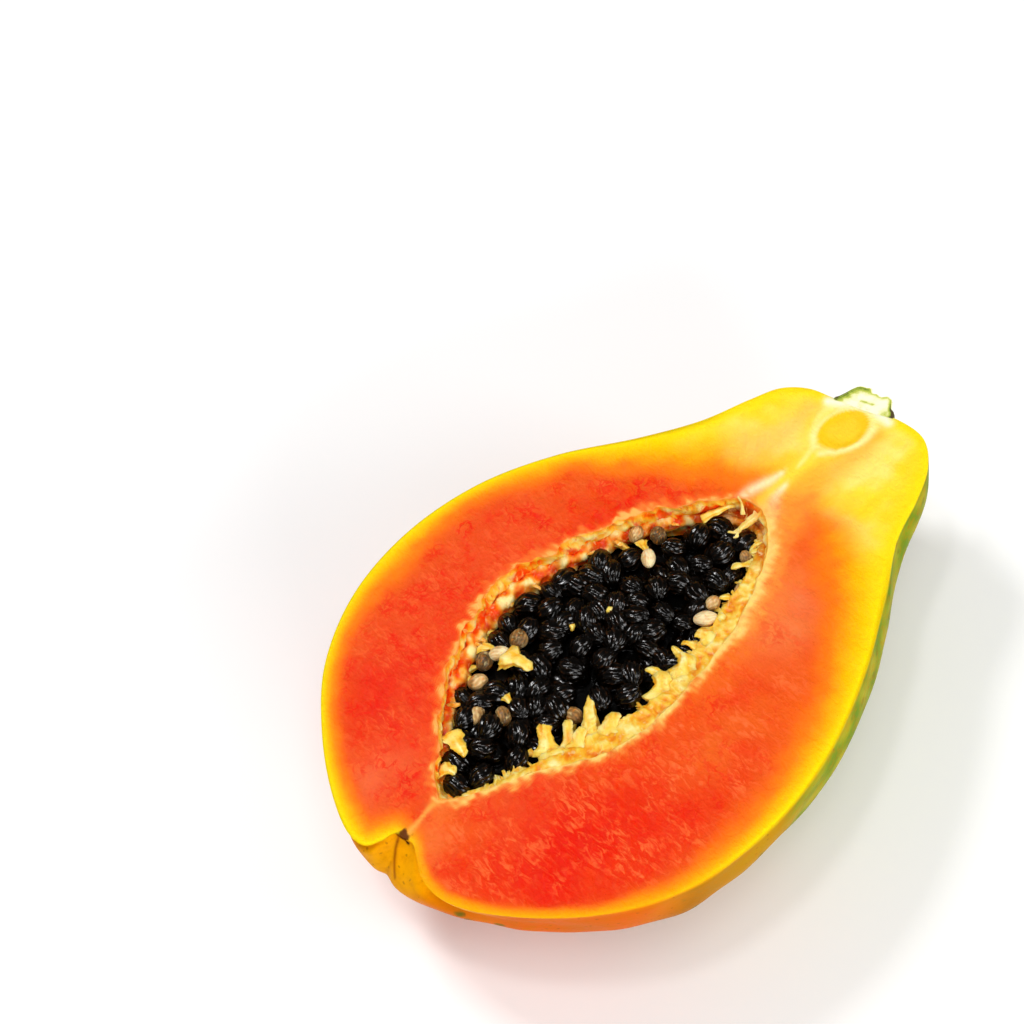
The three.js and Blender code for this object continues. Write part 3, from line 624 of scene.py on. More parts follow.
def skin_colours(points):
    """The skin's colours: orange and golden yellow in broad clouds, green towards the neck on the near side,
    a dark green line at the cut there, and the scar at the blossom end. Gives also how spotted it is."""
    x, y, z = points.T
    warm = swell(points, 70, 71) + 0.4 * swell(points, 20, 72) + 0.8 * ramp(x, 20, -60)
    colours = graded(warm, [(-1, "#F0A800"), (0, "#E68200"), (1, "#DC6200")])
    green = soft(x + 6 * swell(points, 25, 73), -28, 26) * soft(y, 22, -26)
    green = np.clip(green + 0.3 * soft(swell(points, 30, 74), 0, 2), 0, 1)
    unripe = graded(swell(points, 10, 75), [(-1, "#A69E10"), (0, "#8A960E"), (1, "#6A880A")])
    ochre = soft(x + 4 * swell(points, 25, 73), -50, -34) * soft(y, 10, -34)
    brown = graded(x, [(-34, "#A26800"), (-16, "#AE8204")])
    colours = over(colours, brown, np.maximum(0.9 * ochre, soft(green, 0, 0.6)))
    colours = over(colours, unripe, soft(green, 0.3, 0.8))
    depth = CUT_HEIGHT - z
    colours = over(colours, "#FFC400", soft(depth, 1.4, 0) * (1 - soft(green, 0.2, 0.6)) * 0.8)
    colours = over(colours, "#3C5E0A", 0.9 * np.exp(-(depth / 0.9) ** 2) * soft(green, 0.35, 0.8))
    # Inside the notch the skin is yellow, with a red-brown line of painted shade down its crease.
    notch = np.linalg.norm(points - place(-1, 0.5, 6), axis=1)
    colours = over(colours, "#F2A404", soft(notch, 15, 7))
    crease_shade = dense_line([(1.2, 2), (-2.4, 0.5), (-4.9, -1.6), (-6.2, -2.9)])
    crease_shade = np.exp(-(nearest(points, crease_shade) / 0.35) ** 2)
    colours = over(colours, "#8A3A08", 0.8 * crease_shade * soft(notch, 14, 9))
    mark = np.linalg.norm(points - place(0.3, 0.3, 0.6), axis=1) + 0.5 * swell(points, 1.7, 66)
    colours = over(colours, "#3A1404", soft(mark, 2.1, 1.0))
    return colours, np.clip(soft(swell(points, 34, 76), 0.35, 0.9) + 0.5 * soft(green, 0.3, 0.8), 0, 0.9)


def wall_lumps(rows, columns):
    """How far the pulp of the cavity wall stands out, 0 to 1: the highest of many soft bumps, each longer
    down the wall than along it and set at a slant. Rows are the way along the rim, columns the depth."""
    rng = np.random.default_rng(41)
    high = np.zeros(rows.shape)
    # For each bump: along the rim, down the wall, half width, half length, slant and height.
    ranges = [(0, 122), (0.4, 9), (0.5, 1.7), (0.9, 3.2), (-1.1, 1.1), (0.3, 1)]
    for along, down, wide, long_, slant, tall in zip(*(rng.uniform(*ends, 380) for ends in ranges)):
        u, v, c, s = rows - along, columns - down, math.cos(slant), math.sin(slant)
        bump = np.exp(-((u * c + v * s) / wide) ** 2 - ((v * c - u * s) / long_) ** 2)
        high = np.maximum(high, tall * bump)
    return high


def fruit_surface(rows=300, round_=110, across=42, wall=72):
    """The fruit's closed surface: skin, the cut face on both sides of the cavity, and the cavity's wall.
    Gives points, faces, a 0 for skin or a 1 for flesh for each face, and how far the pulp stands out."""
    t = np.linspace(0, 1, rows)[:, None]
    angle = np.linspace(0, math.pi, round_)
    skin = skin_points(t, np.broadcast_to(angle, (rows, round_)))
    turn = np.broadcast_to(math.pi * eased(wall), (rows, wall))
    cavity = cavity_points(eased(rows)[:, None], turn)
    # Cut face: straight lines from the outline to the cavity's rim, closer together at both ends.
    u = ((1 - np.cos(np.linspace(0, math.pi, across))) / 2)[None, :, None]
    far = skin[:, :1] * (1 - u) + cavity[:, :1] * u
    near = skin[:, -1:] * (1 - u) + cavity[:, -1:] * u
    # Pulp: bumps placed by the way along the rim and the depth below it. The near side's way counts back
    # from 200 mm, and its part past 130 mm takes the far side's bumps once more.
    step = np.linalg.norm(np.diff(cavity[:, [0, -1]], axis=0, prepend=cavity[:1, [0, -1]]), axis=2)
    way = np.cumsum(step, axis=0)
    way = np.where(np.cos(turn) > 0, way[:, :1], 200 - way[:, 1:])
    depth = CUT_HEIGHT - cavity[..., 2]
    lumps = wall_lumps(np.where(way > 130, 140 - 0.9 * (way - 80), way), depth)
    lumps = lumps * ramp(depth, 0, 1.0) * soft(depth, 16, 9)
    points, faces, marks, extra, first = [], [], [], [], 0
    for grid, mark, order, high in (
            (skin, 0, 1, None), (far, 1, -1, None), (near, 1, 1, None), (cavity, 1, -1, lumps)):
        cells = net(grid.shape[0], grid.shape[1], first)[:, ::order]
        faces.append(cells)
        marks.append(np.full(len(cells), mark))
        points.append(grid.reshape(-1, 3))
        extra.append(np.zeros(points[-1].shape[0]) if high is None else high.ravel())
        first += len(points[-1])
    points, faces, marks, kept = welded(
        np.concatenate(points), np.concatenate(faces), np.concatenate(marks))
    return points, faces, marks, np.concatenate(extra)[kept]


def wall_colours(points, lump):
    """The cavity wall's colours: red-orange hollows and cream tips on the far side, partly the pulp's own and
    partly painted shade and painted highlight, paler on the near side, a pale edge at the cut, and painted
    brown shadow in the deep end towards the stalk."""
    x, y, z = points.T
    depth = CUT_HEIGHT - z
    tone = lump + 0.16 * swell(points, 3, 62) + 0.1 * swell(points, 1.4, 63)
    # Red-orange in the hollows and cream on the tips: partly the pulp's own colours, partly painted shade and
    # painted highlight. The near side's paler ramp is graded the same way.
    tint = graded(tone, [
        (0, "#FF4000"), (0.16, "#FF7400"), (0.34, "#FFA218"), (0.58, "#FFC43C"), (0.95, "#FFE690")])
    near_tint = graded(tone, [(-0.1, "#FF9420"), (0.2, "#FFBA40"), (0.5, "#FFD870"), (0.9, "#FFECAC")])
    torn = soft(swell(points, 8, 69, 20), 0.35, 0.9) * soft(depth, 1, 2.5)
    tint = over(tint, "#FA3000", 0.85 * torn)
    tint = over(tint, near_tint, soft(y, 6, -5))
    tint = over(tint, "#FFB848", soft(depth, 1.1, 0) * 0.6)
    # Painted brown shadow in the deep end of the cavity towards the stalk.
    tint = over(tint, "#B43C04", 0.8 * soft(x + REST_X, 102, 112) * soft(depth, 1.2, 3.5))
    return tint


class PapayaLooks(PropertyGroup):
    """The sizes and colours of the papaya half."""
    seed_count: IntProperty(
        name="Seeds on top", description="Black seeds in the top layer", default=86, min=10, max=150)
    seed_length: FloatProperty(
        name="Seed length", description="Length of a black seed", default=6.9 * MM, unit="LENGTH")
    seed_width: FloatProperty(
        name="Seed width", description="Width of a black seed", default=6.0 * MM, unit="LENGTH")
    pulp_height: FloatProperty(
        name="Pulp height", description="How far the torn pulp stands out from the cavity wall",
        default=1.3 * MM, unit="LENGTH")
    flesh_red: FloatVectorProperty(
        name="Reddest flesh", description="Colour of the ripest flesh", subtype="COLOR", size=3,
        default=linear("#F03010")[:3], min=0, max=1)
    floor_colour: FloatVectorProperty(
        name="Floor", description="Colour of the pale floor", subtype="COLOR", size=3,
        default=linear("#FFFFFF")[:3], min=0, max=1)


class PAPAYA_OT_fruit(Operator):
    """Adds the fruit itself: skin, cut face and cavity wall as one closed surface"""
    bl_idname = "papaya.fruit"
    bl_label = "Add the fruit"

    def execute(self, context):
        looks = context.scene.papaya
        points, faces, marks, lump = fruit_surface()
        ends = np.linspace(0, 1, 900)
        outline = np.concatenate([skin_points(ends, 0 * ends), skin_points(ends, 0 * ends + math.pi)])
        rim = np.concatenate([cavity_points(ends, 0 * ends), cavity_points(ends, 0 * ends + math.pi)])
        x, y, z = points.T
        depth = CUT_HEIGHT - z
        top = depth < 1e-3
        inside = np.zeros(len(points), bool)
        inside[np.unique(faces[marks == 1])] = True
        wall_part = inside & ~top
        from_skin, from_rim = np.full(len(points), 99.0), np.full(len(points), 99.0)
        from_skin[top] = nearest(points[top], outline)
        from_rim[inside] = np.hypot(nearest(points[inside], rim), depth[inside])
        tint, blotches = skin_colours(points)
        cut, strokes, squiggles, oval = flesh_colours(points[top], from_skin[top], from_rim[top], looks)
        tint[inside & top] = cut[inside[top]]
        fine = np.zeros((2, len(points)))
        fine[:, top] = strokes, squiggles
        tint[wall_part] = wall_colours(points[wall_part], lump[wall_part])
        # The way into the cavity: from each wall point towards the cavity's long middle line.
        middle = place(np.clip(x + REST_X, 22, 106), 4 + 0 * y, 7 + 0 * y)
        inward = middle - points
        inward /= np.linalg.norm(inward, axis=1, keepdims=True)
        ragged = 0.8 * swell(points, 13, 64, 20) + 0.4 * swell(points, 4.5, 65, 20)
        ragged += 0.25 * swell(points, 2, 67)
        ragged *= np.exp(-(from_rim / 3) ** 2) * (0.3 + 0.7 * soft(y, -6, 6))
        ragged *= soft(x + REST_X, 13, 20) * soft(x + REST_X, 117, 108)
        flat = inward * [1, 1, 0]
        points = points + inward * (lump * looks.pulp_height / MM)[:, None] + flat * ragged[:, None]
        # The knife leaves a slight roll at the skin and at the cavity, and the flesh is not quite flat.
        drop = 0.28 * np.exp(-(from_skin / 0.45) ** 2)
        drop += (0.15 + 0.3 * soft(y, -6, 4)) * np.exp(-(from_rim / 0.7) ** 2)
        uneven = 0.13 * swell(points, 6, 3) + 0.07 * swell(points, 2.4, 4)
        hollow = np.zeros(len(points))
        hollow[top] = 0.3 * soft(oval, 1.0, 0.6)
        drop += np.where(inside, (0.2 - uneven) * ramp(from_skin, 0, 3), 0) + hollow
        points[:, 2] -= np.where(top, np.maximum(drop, 0), 0)
        # Shallow dents in the skin.
        out = points - place(np.clip(x, -40, 60) + REST_X, 0 * y, 4 + 0 * y)
        out /= np.linalg.norm(out, axis=1, keepdims=True)
        dents = 0.28 * swell(points, 18, 6) * soft(z, 2, 8) * soft(depth, 0, 3)
        points += out * np.where(inside, 0, dents)[:, None]
        put("fruit_skin_and_flesh", points, faces, [skin_material(), flesh_material()],
            ["fruit_half"], marks, {
                "tint": tint, "blotches": blotches, "strokes": fine[0], "squiggles": fine[1],
                "pulp": np.where(wall_part, 0.8 * soft(depth, 0.2, 1.5), 0)}, sharp=50)
        return {"FINISHED"}


def turned(turn, tip, roll):
    """Turning matrices, one for each seed: rolled about its length, tipped and turned round Z."""
    def about(axis, angle):
        c, s, o, i = np.cos(angle), np.sin(angle), np.zeros_like(angle), np.ones_like(angle)
        rows = {"x": [i, o, o, o, c, -s, o, s, c], "y": [c, o, s, o, i, o, -s, o, c],
                "z": [c, -s, o, s, c, o, o, o, i]}[axis]
        return np.stack(rows, -1).reshape(-1, 3, 3)
    return about("z", turn) @ about("y", tip) @ about("x", roll)


def grains(at, length, width, turn, tip, seed, rows=17, sides=45, rough=0.13):
    """Seeds: an egg shape, a little longer than wide, with twelve ridges from end to end. A ridge is one less
    the size of a sine round the seed, whose phase sways along it; fine wrinkles are added across."""
    rng = np.random.default_rng(seed)
    n = len(at)
    polar = np.concatenate([[0], np.repeat(np.linspace(0, math.pi, rows + 2)[1:-1], sides), [math.pi]])
    round_ = np.concatenate([[0], np.tile(np.linspace(0, 2 * math.pi, sides, endpoint=False), rows), [0]])
    p, q, r = rng.uniform(0, 2 * math.pi, (3, n, 1))
    ribs = 1 - np.abs(np.sin(6 * round_ + 0.8 * np.sin(3 * polar + p) + 0.6 * np.sin(2 * round_ + r) + q))
    ribs = ribs ** 1.2 * np.sin(polar) ** 0.6
    wrinkles = np.sin(9 * polar + 2.4 * np.sin(4 * round_ + p) + r) * np.sin(polar)
    size = 1 + rough * (ribs - 0.45) + 0.12 * rough * wrinkles
    shape = np.stack([
        np.cos(polar) * (1 + 0.06 * np.cos(2 * polar)) * size,
        np.sin(polar) * np.cos(round_) * size,
        np.sin(polar) * np.sin(round_) * size * 0.96], -1)
    shape = shape * np.stack([length, width, width], -1)[:, None, :] / 2
    shape = np.einsum("nij,nvj->nvi", turned(turn, tip, rng.uniform(0, 2 * math.pi, n)), shape)
    points = shape + at[:, None, :]
    faces = (closed_net(rows, sides)[None] + (np.arange(n) * points.shape[1])[:, None, None]).reshape(-1, 3)
    return points.reshape(-1, 3), faces, (ribs + 0.3 * wrinkles).reshape(-1)


def strands(start, middle, end, half_width, seed, flat=0.5, taper=0.6, rows=22, sides=16):
    """Soft flattened strands: each follows the curve (1-s)^2 start + 2s(1-s) middle + s^2 end and sways a
    little. Its oval section shrinks towards the tip, which is rounded, and its edges are uneven. Gives also
    how far each point stands out, raised on the strand's upper side, so that colours graded by it paint the
    top paler and the underside darker as painted light and shade."""
    rng = np.random.default_rng(seed)
    n = len(start)
    s = np.linspace(0, 1, rows)[None, :, None]
    path = (1 - s) ** 2 * start[:, None] + 2 * s * (1 - s) * middle[:, None] + s ** 2 * end[:, None]
    ahead = np.gradient(path, axis=1)
    ahead /= np.linalg.norm(ahead, axis=2, keepdims=True)
    side = np.cross(ahead, np.array([0.1, 0.05, 1.0]))
    side /= np.linalg.norm(side, axis=2, keepdims=True)
    up = np.cross(side, ahead)
    p = rng.uniform(0, 2 * math.pi, (n, 1, 1))
    path = path + (0.3 * np.sin(7 * s + p) * side + 0.2 * np.sin(5 * s + 2 * p) * up) * s
    thick = half_width[:, None, None] * (1 - (1 - taper) * s + 0.7 * np.exp(-(s / 0.25) ** 2))
    thick = thick * (1 + 0.1 * np.sin(9 * s + 3 * p))
    thick = thick * np.sqrt(np.clip(1 - ((s - 0.8) / 0.22).clip(0) ** 2, 0.03, 1))
    a = np.linspace(0, 2 * math.pi, sides, endpoint=False)[None, None, :]
    grooves = 1 + 0.16 * np.cos(4 * a + p + 2 * s) + 0.12 * np.cos(7 * a + 2 * p - 3 * s)
    wide, deep = np.cos(a) * grooves, flat * np.sin(a) * grooves
    ring = side[:, :, None] * wide[..., None] + up[:, :, None] * deep[..., None]
    smooth = path[:, :, None] + ring * thick[:, :, None]
    torn = 0.13 * swell(smooth, 3.2, seed + 1, 20) + 0.05 * swell(smooth, 1.2, seed + 2, 20)
    ring = path[:, :, None] + ring * (thick[:, :, None] * (1 + torn[..., None] * (1 + 0.9 * s[..., None])))
    tip = path[:, -1:] + ahead[:, -1:] * thick[:, -1:] * 0.5
    points = np.concatenate([path[:, :1], ring.reshape(n, -1, 3), tip], 1)
    # The 0.2 sin term raises the upper side: colours graded by this paint the top paler and the underside
    # darker, as painted light and shade.
    high = (grooves - 1 + 0.2 * np.sin(a) + torn).reshape(n, -1)
    high = np.concatenate([np.zeros((n, 1)), high, np.zeros((n, 1))], 1)
    faces = (closed_net(rows, sides)[None] + (np.arange(n) * points.shape[1])[:, None, None]).reshape(-1, 3)
    return points.reshape(-1, 3), faces, high.ravel()


def dice(start):
    """The same even random numbers as in the solids, so that the seeds lie in the same places."""
    state = start
    while True:
        state = state * 48271 % 2147483647
        yield state / 2147483647


def rim_at(rows, along):
    """How far across a rim lies at a place along the fruit."""
    return float(np.interp(along, [row[0] for row in rows], [row[1] for row in rows]))


def seed_places(count):
    """Where the black seeds lie: each new one goes where most room is, and they mound up in the middle."""
    draw = dice(11)
    taken = [(row[0], row[1]) for row in PALE_SEEDS]
    seeds = []
    while len(seeds) < count:
        best = None
        for _ in range(40):
            along, across = 19 + 92 * next(draw), -16 + 44 * next(draw)
            high = rim_at(FAR_RIM, along) - 4.8
            low = rim_at(NEAR_RIM, along) + 4 + 2.6 * float(ramp(along, 20, 40) * ramp(along, 110, 95))
            room = min(math.hypot(a - along, b - across) for a, b in taken)
            if low < across < high and (best is None or room > best[2]):
                best = (along, across, room, min(min(high - across, across - low) / 12, 1))
        if best:
            taken.append(best[:2])
            depth = 5.6 - best[3] + 1.2 * (next(draw) - 0.5)
            seeds.append((best[0], best[1], depth, 2 * math.pi * next(draw), 0.9 * (next(draw) - 0.5),
                          0.88 + 0.24 * next(draw)))
    return np.array(seeds)


class PAPAYA_OT_seeds(Operator):
    """Adds the bunch of black seeds: the layer on top, one under it and the dark bed below"""
    bl_idname = "papaya.seeds"
    bl_label = "Add the black seeds"

    def execute(self, context):
        looks = context.scene.papaya
        top = seed_places(looks.seed_count)
        rng = np.random.default_rng(5)
        # Across the middle they have slid towards the near side, and the blossom end is packed full.
        top[:, 1] -= 1.5 * soft(top[:, 0], 36, 50) * soft(top[:, 0], 98, 84)
        packed = np.array([
            (*at, rng.uniform(0, 2 * math.pi), rng.uniform(-0.4, 0.4), 0.98) for at in END_SEEDS])
        room = np.hypot(top[:, :1] - packed[None, :, 0], top[:, 1:2] - packed[None, :, 1]).min(1)
        top = np.concatenate([top[room > END_ROOM], packed])
        count = 60
        under = top[rng.integers(0, len(top), count)].copy()
        under[:, :2] += rng.uniform(-3, 3, (count, 2))
        under[:, 2] += rng.uniform(2.4, 3.4, count)
        parts = [grains(
            place(rows[:, 0], rows[:, 1], rows[:, 2]), looks.seed_length / MM * rows[:, 5],
            looks.seed_width / MM * rows[:, 5], rows[:, 3], rows[:, 4], 8, *fineness)
            for rows, fineness in ((top, (16, 60)), (under, (9, 18)))]
        points = np.concatenate([points for points, _, _ in parts])
        faces = np.concatenate([parts[0][1], parts[1][1] + len(parts[0][0])])
        ribs = np.concatenate([ribs for _, _, ribs in parts])
        ways = [turned(rows[:, 3], rows[:, 4], 0 * rows[:, 3])[:, :, 0] for rows in (top, under)]
        ways = np.concatenate([np.repeat(way, len(part[0]) // len(way), 0) for way, part in zip(ways, parts)])
        # The bed: the cavity's own shape, drawn in, with its top well under the seeds.
        rows, round_, across, inset, deep = 40, 16, 8, 1.6, 8.6
        t = np.linspace(0.05, 0.95, rows)[:, None]
        bed = cavity_points(t, np.broadcast_to(np.linspace(0, math.pi, round_), (rows, round_)), inset)
        bed[..., 2] = np.minimum(bed[..., 2], CUT_HEIGHT - deep)
        lid = np.linspace(0, 1, across)[None, :, None]
        loop = np.concatenate([bed, (bed[:, -1:] * (1 - lid) + bed[:, :1] * lid)[:, 1:-1]], 1)
        bed_points = np.concatenate([loop[:1].mean(1), loop.reshape(-1, 3), loop[-1:].mean(1)])
        faces = np.concatenate([faces, closed_net(rows, loop.shape[1])[:, ::-1] + len(points)])
        put("black_seeds", np.concatenate([points, bed_points]), faces, [seed_material()],
            ["seeds_black"], values={
                "ridge": np.concatenate([ribs, np.zeros(len(bed_points))]),
                "lengthwise": np.pad(ways, ((0, len(bed_points)), (0, 1)), constant_values=1)})
        return {"FINISHED"}


def cushion(steps=760, sides=36):
    """The placenta's cushion: a tube round the closed line of RING, combed into ridges across it and lumpy,
    with a sloped top. Gives its points, faces and colours, and the line's points, directions and radii."""
    ring = np.array(RING, float)
    closed = np.vstack([ring[-2:], ring, ring[:3]])
    t = (2 + len(ring) * np.linspace(0, 1, steps, endpoint=False)) / (len(closed) - 1)
    line = through(closed[:, :3], t)
    thick = np.interp(t * (len(closed) - 1), np.arange(len(closed)), closed[:, 3])
    path = place(line[:, 0], line[:, 1], line[:, 2])
    ahead = np.roll(path, -1, 0) - np.roll(path, 1, 0)
    gone = np.cumsum(np.linalg.norm(ahead, axis=1) / 2)[:, None]
    ahead /= np.linalg.norm(ahead, axis=1, keepdims=True)
    side = np.cross(ahead, [0, 0, 1.0])
    side /= np.linalg.norm(side, axis=1, keepdims=True)
    up = np.cross(side, ahead)
    a = np.linspace(0, 2 * math.pi, sides, endpoint=False)
    out = side[:, None] * np.cos(a)[None, :, None] + up[:, None] * np.sin(a)[None, :, None]
    base = path[:, None] + out * thick[:, None, None]
    sway = 1.4 * swell(base, 6, 11) + 0.5 * swell(base, 2.5, 14)
    combed = np.sin(gone * math.pi / 1.1 + 0.8 * np.sin(2 * a) + 2.4 * sway)
    high = 0.13 * combed + 0.36 * swell(base, 5.5, 15, 20) + 0.24 * swell(base, 2.4, 12, 20)
    high += 0.1 * swell(base, 1.3, 17, 20)
    high += 0.8 * soft(base[..., 1], 0, 8) * swell(base, 3.6, 16, 20)
    points = base + out * (high * np.clip(thick / 4.4, 0.3, 1)[:, None])[..., None]
    # Its top starts at the cavity's rim and slopes down into the cavity.
    slope = 0.2 + 0.28 * thick[:, None] * (1 - np.cos(a)) - 0.35 * np.minimum(high, 0.5)
    points[..., 2] = np.minimum(points[..., 2], CUT_HEIGHT - slope)
    i = np.arange(steps)[:, None] * sides
    j = np.arange(sides)
    n = (np.arange(steps)[:, None] + 1) % steps * sides
    k = (j + 1) % sides
    faces = np.concatenate([
        np.stack([v.ravel() for v in np.broadcast_arrays(i + j, n + j, n + k)], 1),
        np.stack([v.ravel() for v in np.broadcast_arrays(i + j, n + k, i + k)], 1)])
    points, high = points.reshape(-1, 3), high.ravel()
    # On the far side it is redder, and towards the stalk it is darkened to brown with painted shade.
    # Graded by height: hollows orange and ridges cream, partly the placenta's own colours, partly painted
    # shade and painted highlight.
    red = graded(high, [(-0.5, "#FA3000"), (0, "#FF7410"), (0.5, "#FFA838"), (1.1, "#FFE298")])
    tint = over(graded(high, FIBRE_AND_PAINTED_LIGHT), red, 0.8 * soft(points[:, 1], -2, 8))
    # Painted shade: browner towards the deep stalk end of the cavity.
    tint = over(tint, "#B8540C", 0.6 * soft(points[:, 0] + REST_X, 100, 112))
    return (points, outward(points, faces), tint), path, ahead, thick


def torn_flaps():
    """Broad flaps torn from the cushion, most of them on the near side."""
    flaps = np.array([(*a, *b, wide, deep) for a, b, wide, deep in FLAPS])
    start = place(flaps[:, 0], flaps[:, 1], flaps[:, 5] + 1.8)
    end = place(flaps[:, 2], flaps[:, 3], flaps[:, 5] + 0.9)
    points, faces, high = strands(
        start, (start + end) / 2 + [0, 0, 2.2], end, flaps[:, 4] * 0.56, 27, flat=0.36, taper=0.55)
    # Graded by height: painted shade in the hollows and underside, painted highlight on the ridges and top.
    return points, faces, graded(1.6 * high, FIBRE_AND_PAINTED_LIGHT)


def wisps(path, ahead, thick, count=70):
    """Thin strands that bend out of the cushion into the cavity, most of them on the near side, where the
    line's points from 40 to 370 lie."""
    rng = np.random.default_rng(23)
    spot = np.where(rng.random(count) < 0.7, rng.integers(40, 370, count), rng.integers(0, len(path), count))
    start = path[spot]
    inward = place(np.clip(start[:, 0] + REST_X, 24, 104), 4.0, 5.0) - start
    inward[:, 2] = 0
    inward /= np.linalg.norm(inward, axis=1, keepdims=True)
    inward += ahead[spot] * rng.uniform(-0.7, 0.7, (count, 1))
    end = start + inward * (thick[spot] * 0.9 + rng.uniform(0.4, 2.4, count))[:, None]
    end[:, 2] = CUT_HEIGHT - rng.uniform(3, 5.5, count)
    bend = (start + end) / 2 + [0, 0, 1] * rng.uniform(0.8, 2.2, (count, 1))
    points, faces, high = strands(start, bend, end, rng.uniform(0.5, 1.0, count), 24, flat=0.7)
    # Graded by height: painted shade in the hollows and underside, painted highlight on the ridges and top.
    return points, faces, over(graded(1.5 * high, FIBRE_AND_PAINTED_LIGHT), "#F88A34", 0.5 * soft(points[:, 1], 2, 12))


def forked_strand():
    """The thin pale strand with two tips at the stalk end of the cavity, and a short one beside it."""
    fork = place(*np.moveaxis(np.array(FORK), -1, 0))
    points, faces, high = strands(
        fork[:, 0], fork[:, 1], fork[:, 2], np.array(FORK_HALF), 26, flat=0.9, taper=0.8)
    # Graded by height: painted shade in the hollows and underside, painted highlight on the ridges and top.
    return points, faces, over(graded(high + 0.35, FIBRE_AND_PAINTED_LIGHT), "#E8C880", 0.3)


def unripe_seeds():
    """The strands that hold the unripe seeds, each from the nearest place of RING, and the seeds, cream to
    brown."""
    pale, ring = np.array(PALE_SEEDS), np.array(RING, float)
    near = np.hypot(pale[:, :1] - ring[None, :, 0], pale[:, 1:2] - ring[None, :, 1]).argmin(1)
    start = place(ring[near, 0], ring[near, 1], ring[near, 2])
    end = place(pale[:, 0], pale[:, 1], pale[:, 2] + 0.8)
    points, faces, high = strands(
        start, (start + end) / 2, end, np.full(len(pale), 0.8), 25, flat=0.8, taper=0.8)
    # Graded by height: painted shade in the hollows and underside, painted highlight on the ridges and top.
    stems = points, faces, graded(high + 0.1, FIBRE_AND_PAINTED_LIGHT)
    points, faces, ribs = grains(
        place(pale[:, 0], pale[:, 1], pale[:, 2] - 0.6), pale[:, 3], pale[:, 4], np.radians(pale[:, 5]),
        0 * pale[:, 0], 9, rough=0.06)
    brown = np.repeat(pale[:, 6], len(points) // len(pale))
    brown = brown + 0.25 * (0.5 - ribs) + 0.15 * swell(points, 3, 33)
    return stems, (points, faces, graded(brown, [
        (0, "#F6E2B0"), (0.35, "#D6AC70"), (0.65, "#98703E"), (1, "#4E3A22")]))


class PAPAYA_OT_placenta(Operator):
    """Adds the pale yellow placenta along the cavity wall, its flaps and strands, and the unripe seeds"""
    bl_idname = "papaya.placenta"
    bl_label = "Add the placenta"

    def execute(self, context):
        body, path, ahead, thick = cushion()
        stems, seeds = unripe_seeds()
        parts = [body, torn_flaps(), wisps(path, ahead, thick), stems, forked_strand(), seeds]
        first = np.cumsum([0] + [len(points) for points, _, _ in parts])
        put("placenta_and_unripe_seeds", np.concatenate([points for points, _, _ in parts]),
            np.concatenate([faces + at for (_, faces, _), at in zip(parts, first)]), [pulp_material()],
            ["placenta"], values={"tint": np.concatenate([tint for _, _, tint in parts])})
        return {"FINISHED"}


class PAPAYA_OT_stalk(Operator):
    """Adds the cut stub of the stalk"""
    bl_idname = "papaya.stalk"
    bl_label = "Add the stalk stub"

    def execute(self, context):
        # Rows run from the seat's middle out to its edge, along the side and back to the top's middle.
        seat, side, round_ = 16, 18, 60
        angle = np.linspace(0, math.pi, round_)
        share = np.concatenate([np.linspace(0, 1, seat), np.ones(side), np.linspace(1, 0, seat)])[:, None]
        rise = np.concatenate([np.zeros(seat), np.linspace(0, 1, side), np.ones(seat)])[:, None]
        ridges = 0.2 * np.cos(9 * angle + 0.6) * soft(rise, 0.1, 0.5) * share
        across = -0.1 + share * (STUB_HALF + ridges) * np.cos(angle)
        deep = 0.08 + share * (STUB_DEPTH + ridges) * np.sin(angle) * (1 - 0.15 * rise)
        start = STUB_SEAT - STUB_SLANT * across
        rows = place(start, across, deep)
        top = np.interp(across, *zip(*STUB_TOP)) + 0.35 * swell(rows, 2.6, 31) + 0.2 * swell(rows, 1.2, 32)
        rows[..., 0] += rise * np.maximum(top - start, 0.4)
        # The cut face, woven between the edge of the seat and the edge of the top.
        low = np.concatenate([rows[:seat, 0][::-1], rows[1:seat, -1]])
        high = np.concatenate([rows[-seat:, 0], rows[-seat:-1, -1][::-1]])
        f = np.linspace(0, 1, side)[None, :, None]
        cut = low[:, None] * (1 - f) + high[:, None] * f
        cut[0], cut[-1] = rows[seat - 1:seat - 1 + side, 0], rows[seat - 1:seat - 1 + side, -1]
        count = rows.shape[0] * round_
        points = np.concatenate([rows.reshape(-1, 3), cut.reshape(-1, 3)])
        faces = np.concatenate([net(rows.shape[0], round_), net(cut.shape[0], side, count)[:, ::-1]])
        # How green: the rind all round, its edge on the cut face, wider to the left, and a short bar there.
        flat = cut.reshape(-1, 3)
        y = flat[:, 1]
        rim = nearest(flat, np.concatenate([rows[seat:, 0], rows[seat:, -1]]))
        bar = nearest(flat, dense_line([(155.8, 1.8), (156.9, -1.0)]))
        green = 0.65 + 0.4 * soft(y, 1, 5) + 0.5 * soft(y, -3.5, -6.5)
        green = green * np.exp(-(rim / (0.8 + 0.9 * soft(y, 0, 4))) ** 2) + 0.5 * soft(y, -3, -5)
        outer = (0.1 + 0.7 * soft(rise, 0, 0.2)) * soft(share, 0.5, 0.95) + 0.1
        rind = np.concatenate([
            np.broadcast_to(outer, rows.shape[:2]).ravel(), green + 0.6 * np.exp(-(bar / 0.4) ** 2)])
        points, faces, _, kept = welded(points, faces, np.zeros(len(faces)))
        put("stalk_stub_cut", points, faces, [stalk_material()], ["stalk_stub"],
            values={"rind": rind[kept]}, sharp=55)
        return {"FINISHED"}


